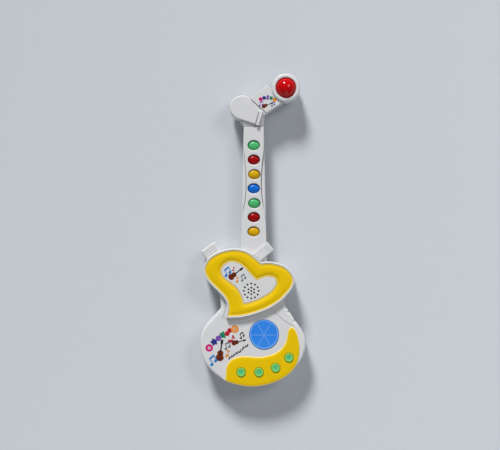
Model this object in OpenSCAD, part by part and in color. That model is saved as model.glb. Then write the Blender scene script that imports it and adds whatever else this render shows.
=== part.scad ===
// Toy electric guitar, lying on its back.
// The body is two moulded shells with a raised heart panel, a yellow button panel and a round light.
// The hollow neck holds seven sprung keys, and the head holds a light under a red dome.
// +Z is up out of the front, +Y runs along the neck, and the origin is on the flat back of the body.

/* [Body] */
// Width across the lower bout
body_w = 125; // [105:1:150]
// Length of the body, bottom edge to the top of the heart
body_l = 165; // [150:1:198]
// Depth of the body, back face to front face
body_t = 30; // [29.5:0.5:36]
// Height of the joint between the two body shells
split_z = 14; // [12:0.5:16]
// Wall of the moulded shells
wall = 2.2; // [1.8:0.1:2.6]

/* [Heart panel] */
// Height of the heart's rim above the body's front face
heart_h = 6; // [5:0.5:8]
// Width of the white rim round the yellow trim
rim_w = 2; // [1.5:0.25:3]
// Diameter of one hole in the speaker grille
grille_hole_d = 1.9; // [1.4:0.1:2.4]
// Radius of the grille's outer ring of holes
grille_r = 8.7; // [7:0.1:10.4]

/* [Round light] */
// Diameter of the round light's blue lens
disc_d = 34.5; // [28:0.5:40]

/* [Buttons] */
// Diameter of a round button
button_d = 10.6; // [9:0.1:12.8]
// Height that a button stands above the yellow panel
button_h = 1.4; // [1.2:0.1:2]
// Travel of a button or a key
travel = 1.2; // [0.8:0.1:1.4]

/* [Neck] */
// Length of the neck outside the body
neck_l = 146; // [134:1:176]
// Width of the neck at the body
neck_w = 30.4; // [28:0.2:34]
// Width of the neck at the head
neck_tip_w = 24; // [22.5:0.2:28]
// Depth of the neck, back to front
neck_t = 19.5; // [19.5:0.5:21]

/* [Keys] */
// Width of a key across the neck
key_w = 14.2; // [12:0.1:14.8]
// Length of a key along the neck
key_l = 11.2; // [9:0.1:12]
// Distance from one key to the next
key_pitch = 17; // [15.5:0.1:18.5]

/* [Head] */
// Width of the head, paddle to dome ring
head_w = 83.4; // [78:0.5:100]
// Diameter of the ring round the red dome
ring_d = 34; // [32:0.5:38]
// Diameter of the red dome where it leaves the ring
dome_d = 23.8; // [20:0.2:25]
// Height of the dome above the ring
dome_h = 6; // [4:0.5:8]

/* [Fits and fasteners] */
// Gap round a lens, a button or a key in its hole
hole_gap = 0.3; // [0.2:0.05:0.4]
// Gap between moulded pieces that slip into each other
slip = 0.2; // [0.15:0.05:0.3]
// Diameter of a self-tapping screw's shank
screw_d = 2.5; // [2:0.1:2.8]
// Diameter of a screw's head
screw_head_d = 4.6; // [4:0.1:5.2]

/* [Hidden] */
$fn = 48;
e = 0.01;

// Every place on the body is given for a body 125 wide and 165 long, and stretched to its size.
bx = body_w / 125;
by = body_l / 165;
function place(p) = [p.x * bx, p.y * by];
function places(list) = [for (p = list) place(p)];

// Smooth curve through points: a run is open and leaves out its last point, a loop closes.
function between(a, b, c, d, t) = 0.5 * (2 * b + (c - a) * t + (2 * a - 5 * b + 4 * c - d) * t * t
    + (3 * b - a - 3 * c + d) * t * t * t);
function run(p, n) = [for (i = [0:len(p) - 2], j = [0:n - 1])
    between(p[max(i - 1, 0)], p[i], p[i + 1], p[min(i + 2, len(p) - 1)], j / n)];
function loop(p, n) = let(k = len(p)) [for (i = [0:k - 1], j = [0:n - 1])
    between(p[(i + k - 1) % k], p[i], p[(i + 1) % k], p[(i + 2) % k], j / n)];

// The lower bout and the waist
body_knots = [[-35, 24], [-39, 11], [-48, 0], [-57, -10], [-62.5, -21], [-63.5, -33], [-61, -47],
              [-55, -58], [-44, -69], [-28, -78], [-4, -82.5], [20, -79], [40, -69], [54, -53],
              [61, -38], [60.5, -24], [55, -13], [48.5, -4], [41.5, 7], [36, 15], [35, 26]];
// The heart: two runs that meet in the cleft and in the tip
heart_left = [[8.5, 62.5], [0, 70], [-10, 76.5], [-24, 79], [-40, 75.5], [-52, 68], [-57.5, 57],
              [-54, 46], [-45, 36], [-35, 26], [-30, 17], [-29.5, 9], [-31, 1]];
heart_right = [[-31, 1], [-14, 2], [2, 6], [17, 12], [29, 19.5], [37, 27], [44, 36], [46, 45],
               [42, 53], [34, 59.5], [22, 63], [14, 63.5], [8.5, 62.5]];
inner_left = [[3, 43.5], [-5, 52], [-12.5, 60], [-20, 64.3], [-28, 65], [-35.5, 61], [-38.5, 54],
              [-35.5, 47], [-28, 41], [-20, 34.5], [-14.5, 25], [-11.8, 16.3]];
inner_right = [[-11.8, 16.3], [-5, 17.5], [7, 22], [19.5, 29.5], [26.5, 39], [24.5, 46], [17, 48],
               [9.5, 46], [3, 43.5]];
// The upper edge of the yellow button panel; its lower edge is the body's own
crescent_knots = [[-34, -84], [-33, -67], [-32, -58], [-27, -51], [-18, -47], [-7, -46.5],
                  [7, -47.3], [21, -44.5], [31, -39], [37, -31], [39.5, -23], [40.5, -16],
                  [44.5, -12], [49, -15.5], [52, -23], [54, -33], [53.5, -45], [50, -57],
                  [44, -66], [44, -84]];
button_places = places([[-15, -65], [6, -65], [25.7, -59.8], [41.5, -47.8]]);
disc_place = place([12.1, -20.6]);
speaker_place = place([-3, 31]);
body_screw_places = places([[-38, -65], [40, -62], [-53, -28], [54, -26], [-30, 8], [29.5, 12],
                            [-47, 58], [36, 44]]);
board_screw_places = places([[-23, -44.5], [36.5, -19], [-9, -10], [45, -31]]);
// Notches between the finger ribs of the right flank
rib_notches = places([[42.8, 7], [49.8, -4]]);

// Heights in the body
face_z = body_t - wall;
heart_base_t = 2;
heart_floor_z = body_t + heart_base_t;
heart_plateau_z = body_t + heart_h - 1.5;
trim_z = body_t + heart_h - 0.8;
crescent_t = 1.2;
flange_t = 1;
flange_grow = 1.3;
stem_d = 5;
screw_head_t = 1.8;
// A flange hangs this far under the face; below it come its stem, its travel, a gap and the pad
flange_gap = 0.3;
dome_pad_h = 0.8;
pad_gap = 0.2;
pad_web_t = 0.8;
board_t = 1.6;

// Battery compartment for three AA cells, moulded into the back shell
cell_d = 14.5;
cell_l = 50.5;
cell_nub_l = 1.4;
cell_count = 3;
cell_pitch = cell_d + 0.5;
contact_t = 0.4;
cell_spring_l = 4.2;
pocket_w = cell_count * cell_pitch + 1.6;
pocket_l = cell_l + cell_spring_l + 2 * contact_t + 0.4;
pocket_wall = 3;
pocket_y = -40;
door_t = 1.8;
door_sink = 0.3;
cell_z = wall + 0.5 + cell_d / 2;
pocket_top = cell_z + cell_d / 2 + 0.3;
pocket_roof_z = pocket_top + 1.5;
// The main board clears the compartment by a screw's head, and a button's stem reaches down to its pad
main_board_z = pocket_roof_z + screw_head_t;
button_pad_z = main_board_z + board_t;
button_stem_h = face_z - flange_gap - flange_t - travel - pad_gap - dome_pad_h - pad_web_t - button_pad_z;
key_stem_h = 1.1;
door_w = pocket_w + pocket_wall;
door_l = pocket_l + pocket_wall;
door_tab_w = 11;
door_tab_l = 7;
door_screw_place = [0, pocket_y - door_l / 2 - door_tab_l / 2 + 0.6];

// Switch, in a recess of the back so that the back stays flat
switch_place = [-15, 17];
switch_recess = [16, 10, 2.4];
switch_slot = [9, 3.4];
switch_throw = 4;
switch_body_size = [12, 7, 4.6];

// Neck: the foot reaches into the body
neck_top_y = 79 * by + neck_l;
neck_foot_y = 52 * by;
neck_wall = 1.8;
neck_z = 8;
neck_face_z = neck_z + neck_t;
neck_split_z = neck_z + 10;
deck_t = 2.5;
deck_z = neck_face_z - deck_t;
neck_roof_z = deck_z - neck_wall;
key_flange_z = neck_roof_z - flange_gap - flange_t;
neck_pad_z = key_flange_z - key_stem_h - travel - pad_gap - dome_pad_h - pad_web_t + 0.2;
neck_board_z = neck_pad_z - board_t;
first_key_y = neck_top_y - 22.3;
key_count = 7;
key_ys = [for (i = [0:key_count - 1]) first_key_y - i * key_pitch];
neck_board_y = [key_ys[key_count - 1] - 10, first_key_y + 9];
neck_screw_places = [[0, neck_top_y - 6.5], [-8, key_ys[key_count - 1] - 17]];
board_post_places = [[0, neck_board_y[1] - 2.6], [-6, neck_board_y[0] + 2.6]];
foot_screw_x = 9;
foot_screw_y = neck_foot_y + 7;
neck_window = [12, 6];
wire_window = [5, 3];
wire_window_x = 6.5;
key_colours = ["MediumSeaGreen", "FireBrick", "Gold", "RoyalBlue", "MediumSeaGreen", "FireBrick",
               "Gold"];

// Head: its places are measured from the middle of the neck's end and stretched with its width
hx = head_w / 83.4;
function head_place(p) = [p.x * hx, neck_top_y + 0.4 + p.y * hx];
function head_places(list) = [for (p = list) head_place(p)];
ring_place = head_place([37.8, 45.2]);
paddle_place = head_place([-14, 22]);
paddle_r = 14.6 * hx;
paddle_end = head_places([[6.5, 17.4], [2.2, 1.4]]);
cuff = head_places([[6.5, 17.4], [11.2, 17.8], [5.6, 0.2], [2.2, 1.4]]);
arm = head_places([[16.6, 49.2], [-5, 33], [14.9, 15.4], [33.3, 27.4]]);
arm_step = head_places([[16.6, 49.2], [-12, 27.5], [4, 7.5], [33.3, 27.4]]);
collar = [head_place([-16.3, 5.4]), [-neck_tip_w / 2 + 0.6, neck_top_y + 0.4],
          [neck_tip_w / 2 - 0.6, neck_top_y + 0.4], head_place([12.6, 8.5]), head_place([13, 15.4])];
head_split_z = neck_split_z;
head_face_z = neck_face_z - 0.5;
head_roof_z = head_face_z - neck_wall;
arm_z = head_face_z + 1.6;
paddle_z = head_face_z + 3.5;
cuff_z = paddle_z + 1.2;
ring_z = head_face_z + 4.5;
ring_lip = 2;
dome_flange_t = 1.3;
dome_wall = 1.5;
tongue = [14, 11, 4.8];
tongue_z = neck_z + 4.2;
head_screw_places = [[0, neck_top_y + 6], paddle_place, head_place([10, 33.5]),
                     [ring_place.x, ring_place.y - ring_d / 2 + 4.1]];
led_d = 5;
led_h = 4.6;
led_board_z = head_split_z + 2.4;
led_board_d = 12;

boss_d = 6.8;
counterbore_d = screw_head_d + 0.8;
pilot_d = screw_d + 0.1;
clear_d = screw_d + 0.4;

// ---- Outlines ----

module body_loop() { polygon(loop(places(body_knots), 4)); }

module heart_outer() { polygon(concat(run(places(heart_left), 4), run(places(heart_right), 4))); }

module heart_inner() { polygon(concat(run(places(inner_left), 4), run(places(inner_right), 4))); }

module heart_rim() { offset(r = rim_w, $fn = 24) heart_outer(); }

// Rectangle whose far end is centred on a point and faces along an angle
module lug(end, angle, w, l) {
    translate(place(end)) rotate(angle) translate([-l, -w / 2]) square([l, w]);
}

module left_lug() { lug([-54.7, 83.5], 125.5, 20, 26); }

module right_lug() { lug([20, 84], 39, 11.8, 25); }

module body_outline() {
    difference() {
        union() {
            body_loop();
            heart_rim();
        }
        for (p = rib_notches) translate(p) circle(r = 1.6, $fn = 24);
    }
}

module body_inside() { offset(delta = -wall) body_outline(); }

function neck_half(y) = neck_tip_w / 2 + (neck_w - neck_tip_w) / 2 * (neck_top_y - y) / neck_l;

module neck_outline(y0, y1, grow = 0) {
    polygon([[-neck_half(y0) - grow, y0], [neck_half(y0) + grow, y0],
             [neck_half(y1) + grow, y1], [-neck_half(y1) - grow, y1]]);
}

// The raised deck that the keys sit in is narrow in the middle of the neck
module deck_outline() {
    waist = key_w / 2 + 1.3;
    mid = neck_top_y - 66;
    side = [[neck_half(neck_top_y) - 0.3, neck_top_y - e], [neck_half(neck_top_y) - 0.4, neck_top_y - 26],
            [waist + 1.2, neck_top_y - 45], [waist, mid], [waist + 1.4, mid - 22],
            [neck_half(neck_top_y - 112) - 0.4, neck_top_y - 112],
            [neck_half(neck_foot_y) - 0.4, neck_foot_y + e]];
    right = concat(run(side, 4), [side[6]]);
    count = len(right);
    polygon(concat(right, [for (i = [0:count - 1]) [-right[count - 1 - i].x, right[count - 1 - i].y]]));
}

module neck_passage() {
    translate([0, 0, neck_z - slip])
        linear_extrude(neck_t + 2 * slip) neck_outline(neck_foot_y - slip, neck_top_y, slip);
}

module paddle_outline() {
    hull() {
        translate(paddle_place) circle(paddle_r);
        polygon([paddle_end[0], paddle_end[1], paddle_place]);
    }
}

// The two offsets close the hairline gaps where the outlines only touch
module head_outline() {
    offset(delta = -0.4) offset(delta = 0.4) {
        polygon(arm_step);
        translate(ring_place) circle(d = ring_d);
        paddle_outline();
        polygon(cuff);
        polygon(collar);
    }
}

module crescent_outline(shrink = 0.6) {
    intersection() {
        offset(delta = -shrink) body_loop();
        polygon(concat([[crescent_knots[0].x * bx, -90 * by]], run(places(crescent_knots), 4),
                       [[crescent_knots[19].x * bx, -90 * by]]));
    }
}

module main_board_outline() {
    difference() {
        intersection() {
            offset(delta = -wall - 2.5) body_loop();
            translate(place([-29, -75])) square(place([79, 71]));
        }
        for (p = body_screw_places) translate(p) circle(d = boss_d + 1.2);
    }
}

// ---- Repeated shapes ----

module plate(z0, z1) { translate([0, 0, z0]) linear_extrude(z1 - z0) children(); }

module peg(p, d, z0, z1) { translate([p.x, p.y, z0]) cylinder(d = d, h = z1 - z0); }

// Screw standing along +Z: its head's seat is at z0
module screw(p, z0, length) {
    difference() {
        union() {
            peg(p, screw_head_d, z0 - screw_head_t, z0);
            peg(p, screw_d, z0 - e, z0 + length);
        }
        for (a = [0, 90]) translate([p.x, p.y, z0 - screw_head_t]) rotate(a) cube([2.6, 0.5, 1.6], center = true);
    }
}

// Boss with a pilot hole that a screw comes into from below
module boss(p, z0, z1) {
    difference() {
        peg(p, boss_d, z0, z1);
        peg(p, pilot_d, z0 - 1, z1 - 1.2);
    }
}

module oval(w, l) { scale([1, l / w]) circle(d = w); }

// Tube through a list of points; "up" is a direction that the path never runs along
function unit(v) = v / norm(v);
module tube(path, d, up, sides = 8) {
    last = len(path) - 1;
    dir = [for (i = [0:last]) unit(path[min(i + 1, last)] - path[max(i - 1, 0)])];
    pts = [for (i = [0:last], s = [0:sides - 1])
        let(u = unit(cross(dir[i], up)), v = cross(dir[i], u), a = 360 * s / sides)
            path[i] + d / 2 * (cos(a) * u + sin(a) * v)];
    skin = [for (i = [0:last - 1], s = [0:sides - 1], half = [0, 1])
        let(n = (s + 1) % sides, a = i * sides, b = a + sides)
            half == 0 ? [a + s, b + n, a + n] : [a + s, b + s, b + n]];
    polyhedron(pts, concat([[for (s = [0:sides - 1]) s]], skin,
                           [[for (s = [sides - 1:-1:0]) last * sides + s]]), convexity = 8);
}

// ---- Body shells ----

module back_shell() {
    color("WhiteSmoke") difference() {
        union() {
            difference() {
                union() {
                    plate(0, split_z) body_outline();
                    plate(6, split_z) left_lug();
                }
                plate(wall, split_z + 1) body_inside();
            }
            plate(0, pocket_roof_z) translate([0, pocket_y])
                square([pocket_w + 2 * pocket_wall, pocket_l + 2 * pocket_wall], center = true);
            plate(0, switch_recess.z + 2) translate(switch_place)
                square([switch_recess.x + 4, switch_recess.y + 4], center = true);
            for (p = body_screw_places) peg(p, boss_d, 0, split_z);
            for (s = [-1, 1]) peg([s * foot_screw_x, foot_screw_y], boss_d, 0, neck_z - slip);
            peg(door_screw_place, boss_d, 0, split_z - 2);
        }
        for (p = body_screw_places) {
            peg(p, counterbore_d, -1, split_z - 4);
            peg(p, clear_d, 0, split_z + 1);
        }
        for (s = [-1, 1]) {
            peg([s * foot_screw_x, foot_screw_y], counterbore_d, -1, neck_z - 2.5);
            peg([s * foot_screw_x, foot_screw_y], clear_d, 0, neck_z);
        }
        peg(door_screw_place, pilot_d, 0, split_z - 3);
        plate(-1, pocket_top) translate([0, pocket_y]) square([pocket_w, pocket_l], center = true);
        plate(-1, wall) offset(delta = slip) door_outline();
        plate(-1, switch_recess.z) translate(switch_place)
            square([switch_recess.x, switch_recess.y], center = true);
        plate(-1, switch_recess.z + 3) translate(switch_place)
            square([switch_slot.x, switch_slot.y], center = true);
        neck_passage();
    }
}

module front_shell() {
    color("WhiteSmoke") difference() {
        union() {
            difference() {
                union() {
                    plate(split_z, body_t) body_outline();
                    plate(split_z, body_t - 4) left_lug();
                    plate(split_z, body_t - e) right_lug();
                    plate(body_t - 1, body_t + 1) difference() {
                        right_lug();
                        offset(delta = 0.3) heart_rim();
                    }
                }
                plate(split_z - 1, face_z) body_inside();
            }
            for (p = body_screw_places) peg(p, boss_d, split_z, face_z + e);
            for (p = board_screw_places) peg(p, boss_d - 1.6, main_board_z + board_t, face_z + e);
        }
        for (p = body_screw_places) peg(p, pilot_d, split_z - 1, face_z - 1.2);
        for (p = board_screw_places) peg(p, pilot_d, main_board_z, face_z - 0.6);
        for (p = button_places) peg(p, button_d + 2 * hole_gap, face_z - 1, body_t + 1);
        peg(disc_place, disc_d + 2 * hole_gap, face_z - 1, body_t + 1);
        peg(speaker_place, 2 * grille_r + 6, face_z - 1, body_t + 1);
        neck_passage();
    }
}

module heart_panel() {
    color("WhiteSmoke") difference() {
        union() {
            plate(body_t, body_t + heart_h) heart_rim();
        }
        plate(heart_floor_z, body_t + heart_h + 1) difference() {
            heart_outer();
            heart_inner();
        }
        plate(heart_plateau_z, body_t + heart_h + 1) heart_inner();
        peg(speaker_place, 2 * grille_r + 4, body_t - 1, heart_plateau_z - 2);
        for (i = [0:11]) grille_hole(grille_r, i * 30);
        for (i = [0:5]) grille_hole(grille_r * 0.44, i * 60 + 30);
        grille_hole(0, 0);
    }
}

module grille_hole(r, angle) {
    peg(speaker_place + r * [cos(angle), sin(angle)], grille_hole_d, body_t, body_t + heart_h, $fn = 16);
}

module heart_trim() {
    color("Gold") plate(heart_floor_z, trim_z) difference() {
        offset(delta = -slip) heart_outer();
        offset(delta = slip) heart_inner();
    }
}

module crescent_panel() {
    color("Gold") difference() {
        plate(body_t, body_t + crescent_t) crescent_outline();
        for (p = button_places) peg(p, button_d + 2 * hole_gap, body_t - 1, body_t + crescent_t + 1);
    }
}

module disc_lens() {
    color("RoyalBlue") {
        peg(disc_place, disc_d + 3, face_z - 1.5, face_z);
        peg(disc_place, disc_d, face_z - e, body_t + 0.9);
    }
}

// ---- Buttons ----

module button(p) {
    top = body_t + crescent_t + button_h;
    color("MediumSeaGreen") difference() {
        union() {
            peg(p, stem_d, face_z - flange_gap - flange_t - button_stem_h, face_z - flange_gap);
            peg(p, button_d + 2 * flange_grow, face_z - flange_gap - flange_t, face_z - flange_gap);
            peg(p, button_d, face_z - flange_gap - e, top);
        }
        peg(p, button_d - 3.2, top - 0.6, top + 1);
    }
}

module button_keypad() {
    color("DimGray") {
        plate(button_pad_z, button_pad_z + pad_web_t) for (i = [0:2]) hull() {
            translate(button_places[i]) circle(d = 11, $fn = 32);
            translate(button_places[i + 1]) circle(d = 11, $fn = 32);
        }
        for (p = button_places) peg(p, 6, button_pad_z, button_pad_z + pad_web_t + dome_pad_h);
    }
}

module main_board() {
    color("DarkGreen") plate(main_board_z, main_board_z + board_t) difference() {
        main_board_outline();
        for (p = board_screw_places) translate(p) circle(d = clear_d);
    }
}

module chip_blob() {
    color("Black") peg(place([14, -34]), 9, main_board_z - 1.1, main_board_z);
}

module disc_led() { color("White") peg(disc_place, led_d, main_board_z + board_t, face_z - 1.9); }

// ---- Speaker ----

module speaker_frame() {
    color("Silver") translate([speaker_place.x, speaker_place.y, face_z])
        rotate_extrude(convexity = 6) polygon([[15, 0], [18, 0], [18, -1.4], [16, -1.4], [9, -8],
            [9, -9.2], [5, -9.2], [5, -8], [8.2, -8], [15, -1.6]]);
}

module speaker_cone() {
    color("DimGray") translate([speaker_place.x, speaker_place.y, face_z])
        rotate_extrude(convexity = 6) polygon([[0, -6.4], [4.4, -6.4], [13.6, -0.9], [14.8, -0.9],
            [14.8, -1.4], [13.8, -1.4], [4.6, -7], [4.6, -8.6], [4, -8.6], [4, -7], [0, -7]]);
}

module speaker_magnet() {
    color("DarkGray") translate([speaker_place.x, speaker_place.y, face_z]) difference() {
        translate([0, 0, -14.2]) cylinder(d = 19, h = 5);
        translate([0, 0, -11]) cylinder(d = 10, h = 3);
    }
}

// ---- Neck ----

module neck_back() {
    color("WhiteSmoke") difference() {
        union() {
            difference() {
                plate(neck_z, neck_split_z) neck_outline(neck_foot_y, neck_top_y);
                plate(neck_z + neck_wall, neck_split_z + 1)
                    neck_outline(neck_foot_y + neck_wall, neck_top_y - neck_wall, -neck_wall);
            }
            for (p = neck_screw_places) peg(p, boss_d, neck_z, neck_split_z);
            for (s = [-1, 1]) peg([s * foot_screw_x, foot_screw_y], boss_d - 1, neck_z, neck_split_z - 2);
            for (p = board_post_places) peg(p, boss_d - 1.8, neck_z, neck_board_z);
            translate([-tongue.x / 2, neck_top_y - 1, tongue_z]) cube([tongue.x, tongue.y + 1, tongue.z]);
        }
        for (p = neck_screw_places) {
            peg(p, counterbore_d, neck_z - 1, neck_split_z - 4);
            peg(p, clear_d, neck_z, neck_split_z + 1);
        }
        for (s = [-1, 1]) peg([s * foot_screw_x, foot_screw_y], pilot_d, neck_z - 1, neck_split_z - 3);
        for (p = board_post_places) peg(p, pilot_d, neck_z + 2, neck_board_z + 1);
        peg(head_screw_places[0], clear_d, tongue_z - 1, tongue_z + tongue.z + 1);
        translate([-neck_window.x / 2, neck_foot_y - 1, neck_z + 2]) cube([neck_window.x, 4, neck_window.y]);
    }
}

module neck_front() {
    color("WhiteSmoke") difference() {
        union() {
            difference() {
                union() {
                    plate(neck_split_z, deck_z) neck_outline(neck_foot_y, neck_top_y);
                    plate(deck_z - e, neck_face_z) deck_outline();
                }
                plate(neck_split_z - 1, neck_roof_z)
                    neck_outline(neck_foot_y + neck_wall, neck_top_y - neck_wall, -neck_wall);
            }
            for (p = neck_screw_places) boss(p, neck_split_z, neck_roof_z + e);
        }
        plate(neck_roof_z - 1, neck_face_z + 1) for (y = key_ys) translate([0, y])
            oval(key_w + 2 * hole_gap, key_l + 2 * hole_gap);
        wire_cut();
    }
}

module wire_cut() {
    translate([wire_window_x - wire_window.x / 2, neck_top_y - 4, neck_split_z + 1])
        cube([wire_window.x, 9, wire_window.y]);
}

module key(i) {
    color(key_colours[i - 1]) translate([0, key_ys[i - 1]]) {
        plate(key_flange_z, key_flange_z + flange_t) oval(key_w + 2 * flange_grow, key_l + 2 * flange_grow);
        plate(key_flange_z + flange_t - e, neck_face_z - 0.3) oval(key_w, key_l);
        peg([0, 0], stem_d, key_flange_z - key_stem_h + 0.2, key_flange_z + e);
    }
}

module neck_keypad() {
    color("DimGray") {
        translate([-8.5, key_ys[key_count - 1] - 5, neck_pad_z])
            cube([17, first_key_y - key_ys[key_count - 1] + 8.8, pad_web_t]);
        for (y = key_ys) peg([0, y], 6, neck_pad_z, neck_pad_z + pad_web_t + dome_pad_h);
    }
}

module neck_board() {
    color("DarkGreen") difference() {
        translate([-9, neck_board_y[0], neck_board_z])
            cube([18, neck_board_y[1] - neck_board_y[0], board_t]);
        for (p = board_post_places) peg(p, clear_d, neck_board_z - 1, neck_board_z + board_t + 1);
    }
}

// ---- Head ----

module head_back() {
    color("WhiteSmoke") difference() {
        union() {
            difference() {
                plate(neck_z, head_split_z) head_outline();
                plate(neck_z + neck_wall, head_split_z + 1) offset(delta = -neck_wall) head_outline();
            }
            peg(head_screw_places[0], boss_d, neck_z, tongue_z - slip);
            for (i = [1:3]) peg(head_screw_places[i], boss_d, neck_z, head_split_z);
            peg(ring_place, 4, neck_z, led_board_z);
        }
        peg(head_screw_places[0], counterbore_d, neck_z - 1, neck_z + 2.5);
        for (i = [1:3]) peg(head_screw_places[i], counterbore_d, neck_z - 1, head_split_z - 4);
        for (p = head_screw_places) peg(p, clear_d, neck_z, head_split_z + 1);
        tongue_cut();
    }
}

module tongue_cut() {
    translate([-tongue.x / 2 - slip, neck_top_y - 1, tongue_z - slip])
        cube([tongue.x + 2 * slip, tongue.y + 1 + slip, tongue.z + 2 * slip]);
}

module head_front() {
    color("WhiteSmoke") difference() {
        union() {
            difference() {
                union() {
                    plate(head_split_z, head_face_z) head_outline();
                    plate(head_face_z - 1, arm_z) offset(delta = -0.4) polygon(arm);
                    plate(head_face_z - 1, paddle_z) offset(delta = -0.5) paddle_outline();
                    plate(head_face_z - 1, cuff_z) offset(delta = -0.2) polygon(cuff);
                    peg(ring_place, ring_d - 0.6, head_face_z - 1, ring_z);
                }
                plate(head_split_z - 1, head_roof_z) offset(delta = -neck_wall) head_outline();
            }
            boss(head_screw_places[0], tongue_z + tongue.z + slip, head_roof_z + e);
            for (i = [1, 2]) boss(head_screw_places[i], head_split_z, head_roof_z + e);
            boss(head_screw_places[3], head_split_z, head_roof_z + 1);
        }
        peg(ring_place, dome_d + 2 * slip, head_roof_z - 1, ring_z + 1);
        difference() {
            peg(ring_place, dome_d + 4, head_roof_z - e, ring_z - ring_lip);
            peg(head_screw_places[3], boss_d, head_roof_z - 1, head_roof_z + 1);
        }
        tongue_cut();
        wire_cut();
    }
}

module dome_lens() {
    flange_top = ring_z - ring_lip;
    cap_h = ring_lip + dome_h;
    outer_r = (pow(dome_d / 2, 2) + cap_h * cap_h) / (2 * cap_h);
    color("Red", 0.8) translate([ring_place.x, ring_place.y, 0]) difference() {
        union() {
            translate([0, 0, flange_top - dome_flange_t]) cylinder(d = dome_d + 3.4, h = dome_flange_t);
            intersection() {
                translate([0, 0, flange_top + cap_h - outer_r]) sphere(outer_r);
                translate([0, 0, flange_top - e]) cylinder(d = dome_d + 2, h = cap_h + 1);
            }
        }
        translate([0, 0, flange_top + cap_h - outer_r]) sphere(outer_r - dome_wall);
        translate([0, 0, flange_top - dome_flange_t - 1]) cylinder(d = dome_d - 5, h = dome_flange_t + 1);
    }
}

module dome_led() { color("Red") peg(ring_place, led_d, led_board_z + board_t, led_board_z + board_t + led_h); }

module led_board() { color("DarkGreen") peg(ring_place, led_board_d, led_board_z, led_board_z + board_t); }

// ---- Batteries, door and switch ----

cell_xs = [for (i = [0:cell_count - 1]) (i - (cell_count - 1) / 2) * cell_pitch];
// Alternate cells point the other way
function cell_sign(i) = i % 2 == 0 ? 1 : -1;

module at_cell(i) {
    translate([cell_xs[i], pocket_y, cell_z]) rotate([-90 * cell_sign(i), 0, 0])
        translate([0, 0, -pocket_l / 2]) children();
}

module cells() {
    start = contact_t + cell_spring_l + 0.2;
    color("Silver") for (i = [0:cell_count - 1]) at_cell(i) {
        translate([0, 0, start]) cylinder(d = cell_d, h = cell_l - cell_nub_l);
        translate([0, 0, start + cell_l - cell_nub_l - e]) cylinder(d = 5.4, h = cell_nub_l);
    }
}

module cell_springs() {
    wire_d = 0.8;
    turns = 3;
    steps = 8;
    rise = cell_spring_l - wire_d;
    color("Silver") for (i = [0:cell_count - 1]) at_cell(i)
        tube([for (k = [0:turns * steps]) let(t = k / (turns * steps), r = 4.6 - 1.8 * t)
            [r * cos(360 * turns * t), r * sin(360 * turns * t), contact_t + 0.1 + wire_d / 2 + rise * t]],
            wire_d, [0, 0, 1], 5);
}

module cell_plates() {
    color("Silver") for (i = [0:cell_count - 1]) at_cell(i) for (z = [0, pocket_l - contact_t])
        translate([-6, -5.5, z]) cube([12, 11, contact_t]);
}

module door_outline() {
    translate([0, pocket_y]) square([door_w, door_l], center = true);
    translate([-door_tab_w / 2, pocket_y - door_l / 2 - door_tab_l]) square([door_tab_w, door_tab_l + 1]);
}

module battery_door() {
    color("WhiteSmoke") difference() {
        plate(door_sink, door_sink + door_t) door_outline();
        peg(door_screw_place, clear_d, -1, wall + 1);
        peg(door_screw_place, counterbore_d, -1, door_sink + 1.3);
        for (i = [0:3]) translate([-10, pocket_y + 12 + 3 * i, door_sink - e]) cube([20, 1.2, 0.5]);
    }
}

module door_screw() {
    color("Silver") difference() {
        union() {
            peg(door_screw_place, screw_head_d, door_sink + 0.1, door_sink + 1.3);
            peg(door_screw_place, screw_d, door_sink + 1.2, split_z - 5);
        }
        for (a = [0, 90]) translate([door_screw_place.x, door_screw_place.y, door_sink])
            rotate(a) cube([2.6, 0.5, 1.2], center = true);
    }
}

switch_floor_z = switch_recess.z + 2;

module switch_body() {
    size = switch_body_size;
    color("Silver") translate([switch_place.x, switch_place.y, switch_floor_z]) difference() {
        translate([-size.x / 2, -size.y / 2, 0]) cube(size);
        translate([-switch_slot.x / 2, -1.5, -1]) cube([switch_slot.x, 3, 3.4]);
    }
}

module switch_knob() {
    left = switch_place.x - switch_throw / 2;
    color("Black") {
        translate([left - 2.5, switch_place.y - 4, 0.4]) cube([5, 8, switch_recess.z - 0.7]);
        translate([left - 1.8, switch_place.y - 1.2, 1]) cube([3.6, 2.4, switch_floor_z + 0.6]);
        for (i = [-1, 0, 1]) translate([left + 1.4 * i - 0.3, switch_place.y - 4, 0.2]) cube([0.6, 8, 0.3]);
    }
}

// ---- Fasteners ----

module body_screws() { color("Silver") for (p = body_screw_places) screw(p, split_z - 4, 14); }

module foot_screws() {
    color("Silver") for (s = [-1, 1]) screw([s * foot_screw_x, foot_screw_y], neck_z - 2.5, 8);
}

module neck_screws() { color("Silver") for (p = neck_screw_places) screw(p, neck_split_z - 4, 7.5); }

module head_screws() {
    color("Silver") {
        screw(head_screw_places[0], neck_z + 2.5, 12);
        for (i = [1:3]) screw(head_screw_places[i], head_split_z - 4, 9);
    }
}

module board_screws() {
    color("Silver") {
        for (p = board_screw_places) screw(p, main_board_z, board_t + 3.6);
        for (p = board_post_places)
            translate([p.x, p.y, neck_board_z + board_t]) mirror([0, 0, 1]) screw([0, 0], 0, board_t + 4);
    }
}

// ---- Wiring, held in the shells ----

// Flat cable from the neck board, out of the neck's foot, under the speaker, to the main board
ribbon_w = 6;
ribbon_t = 0.8;
ribbon_path = [[neck_board_y[0] + 14, neck_board_z - 0.5], [neck_foot_y + 12, neck_board_z - 1.5],
               [neck_foot_y + 1, neck_z + 5.5], [neck_foot_y - 4, neck_z - 1.5], [36 * by, 5.5],
               [2 * by, 5.5], [-5 * by, 9], [-6.4 * by, main_board_z - 0.5],
               [-11 * by, main_board_z - 0.5]];

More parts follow.
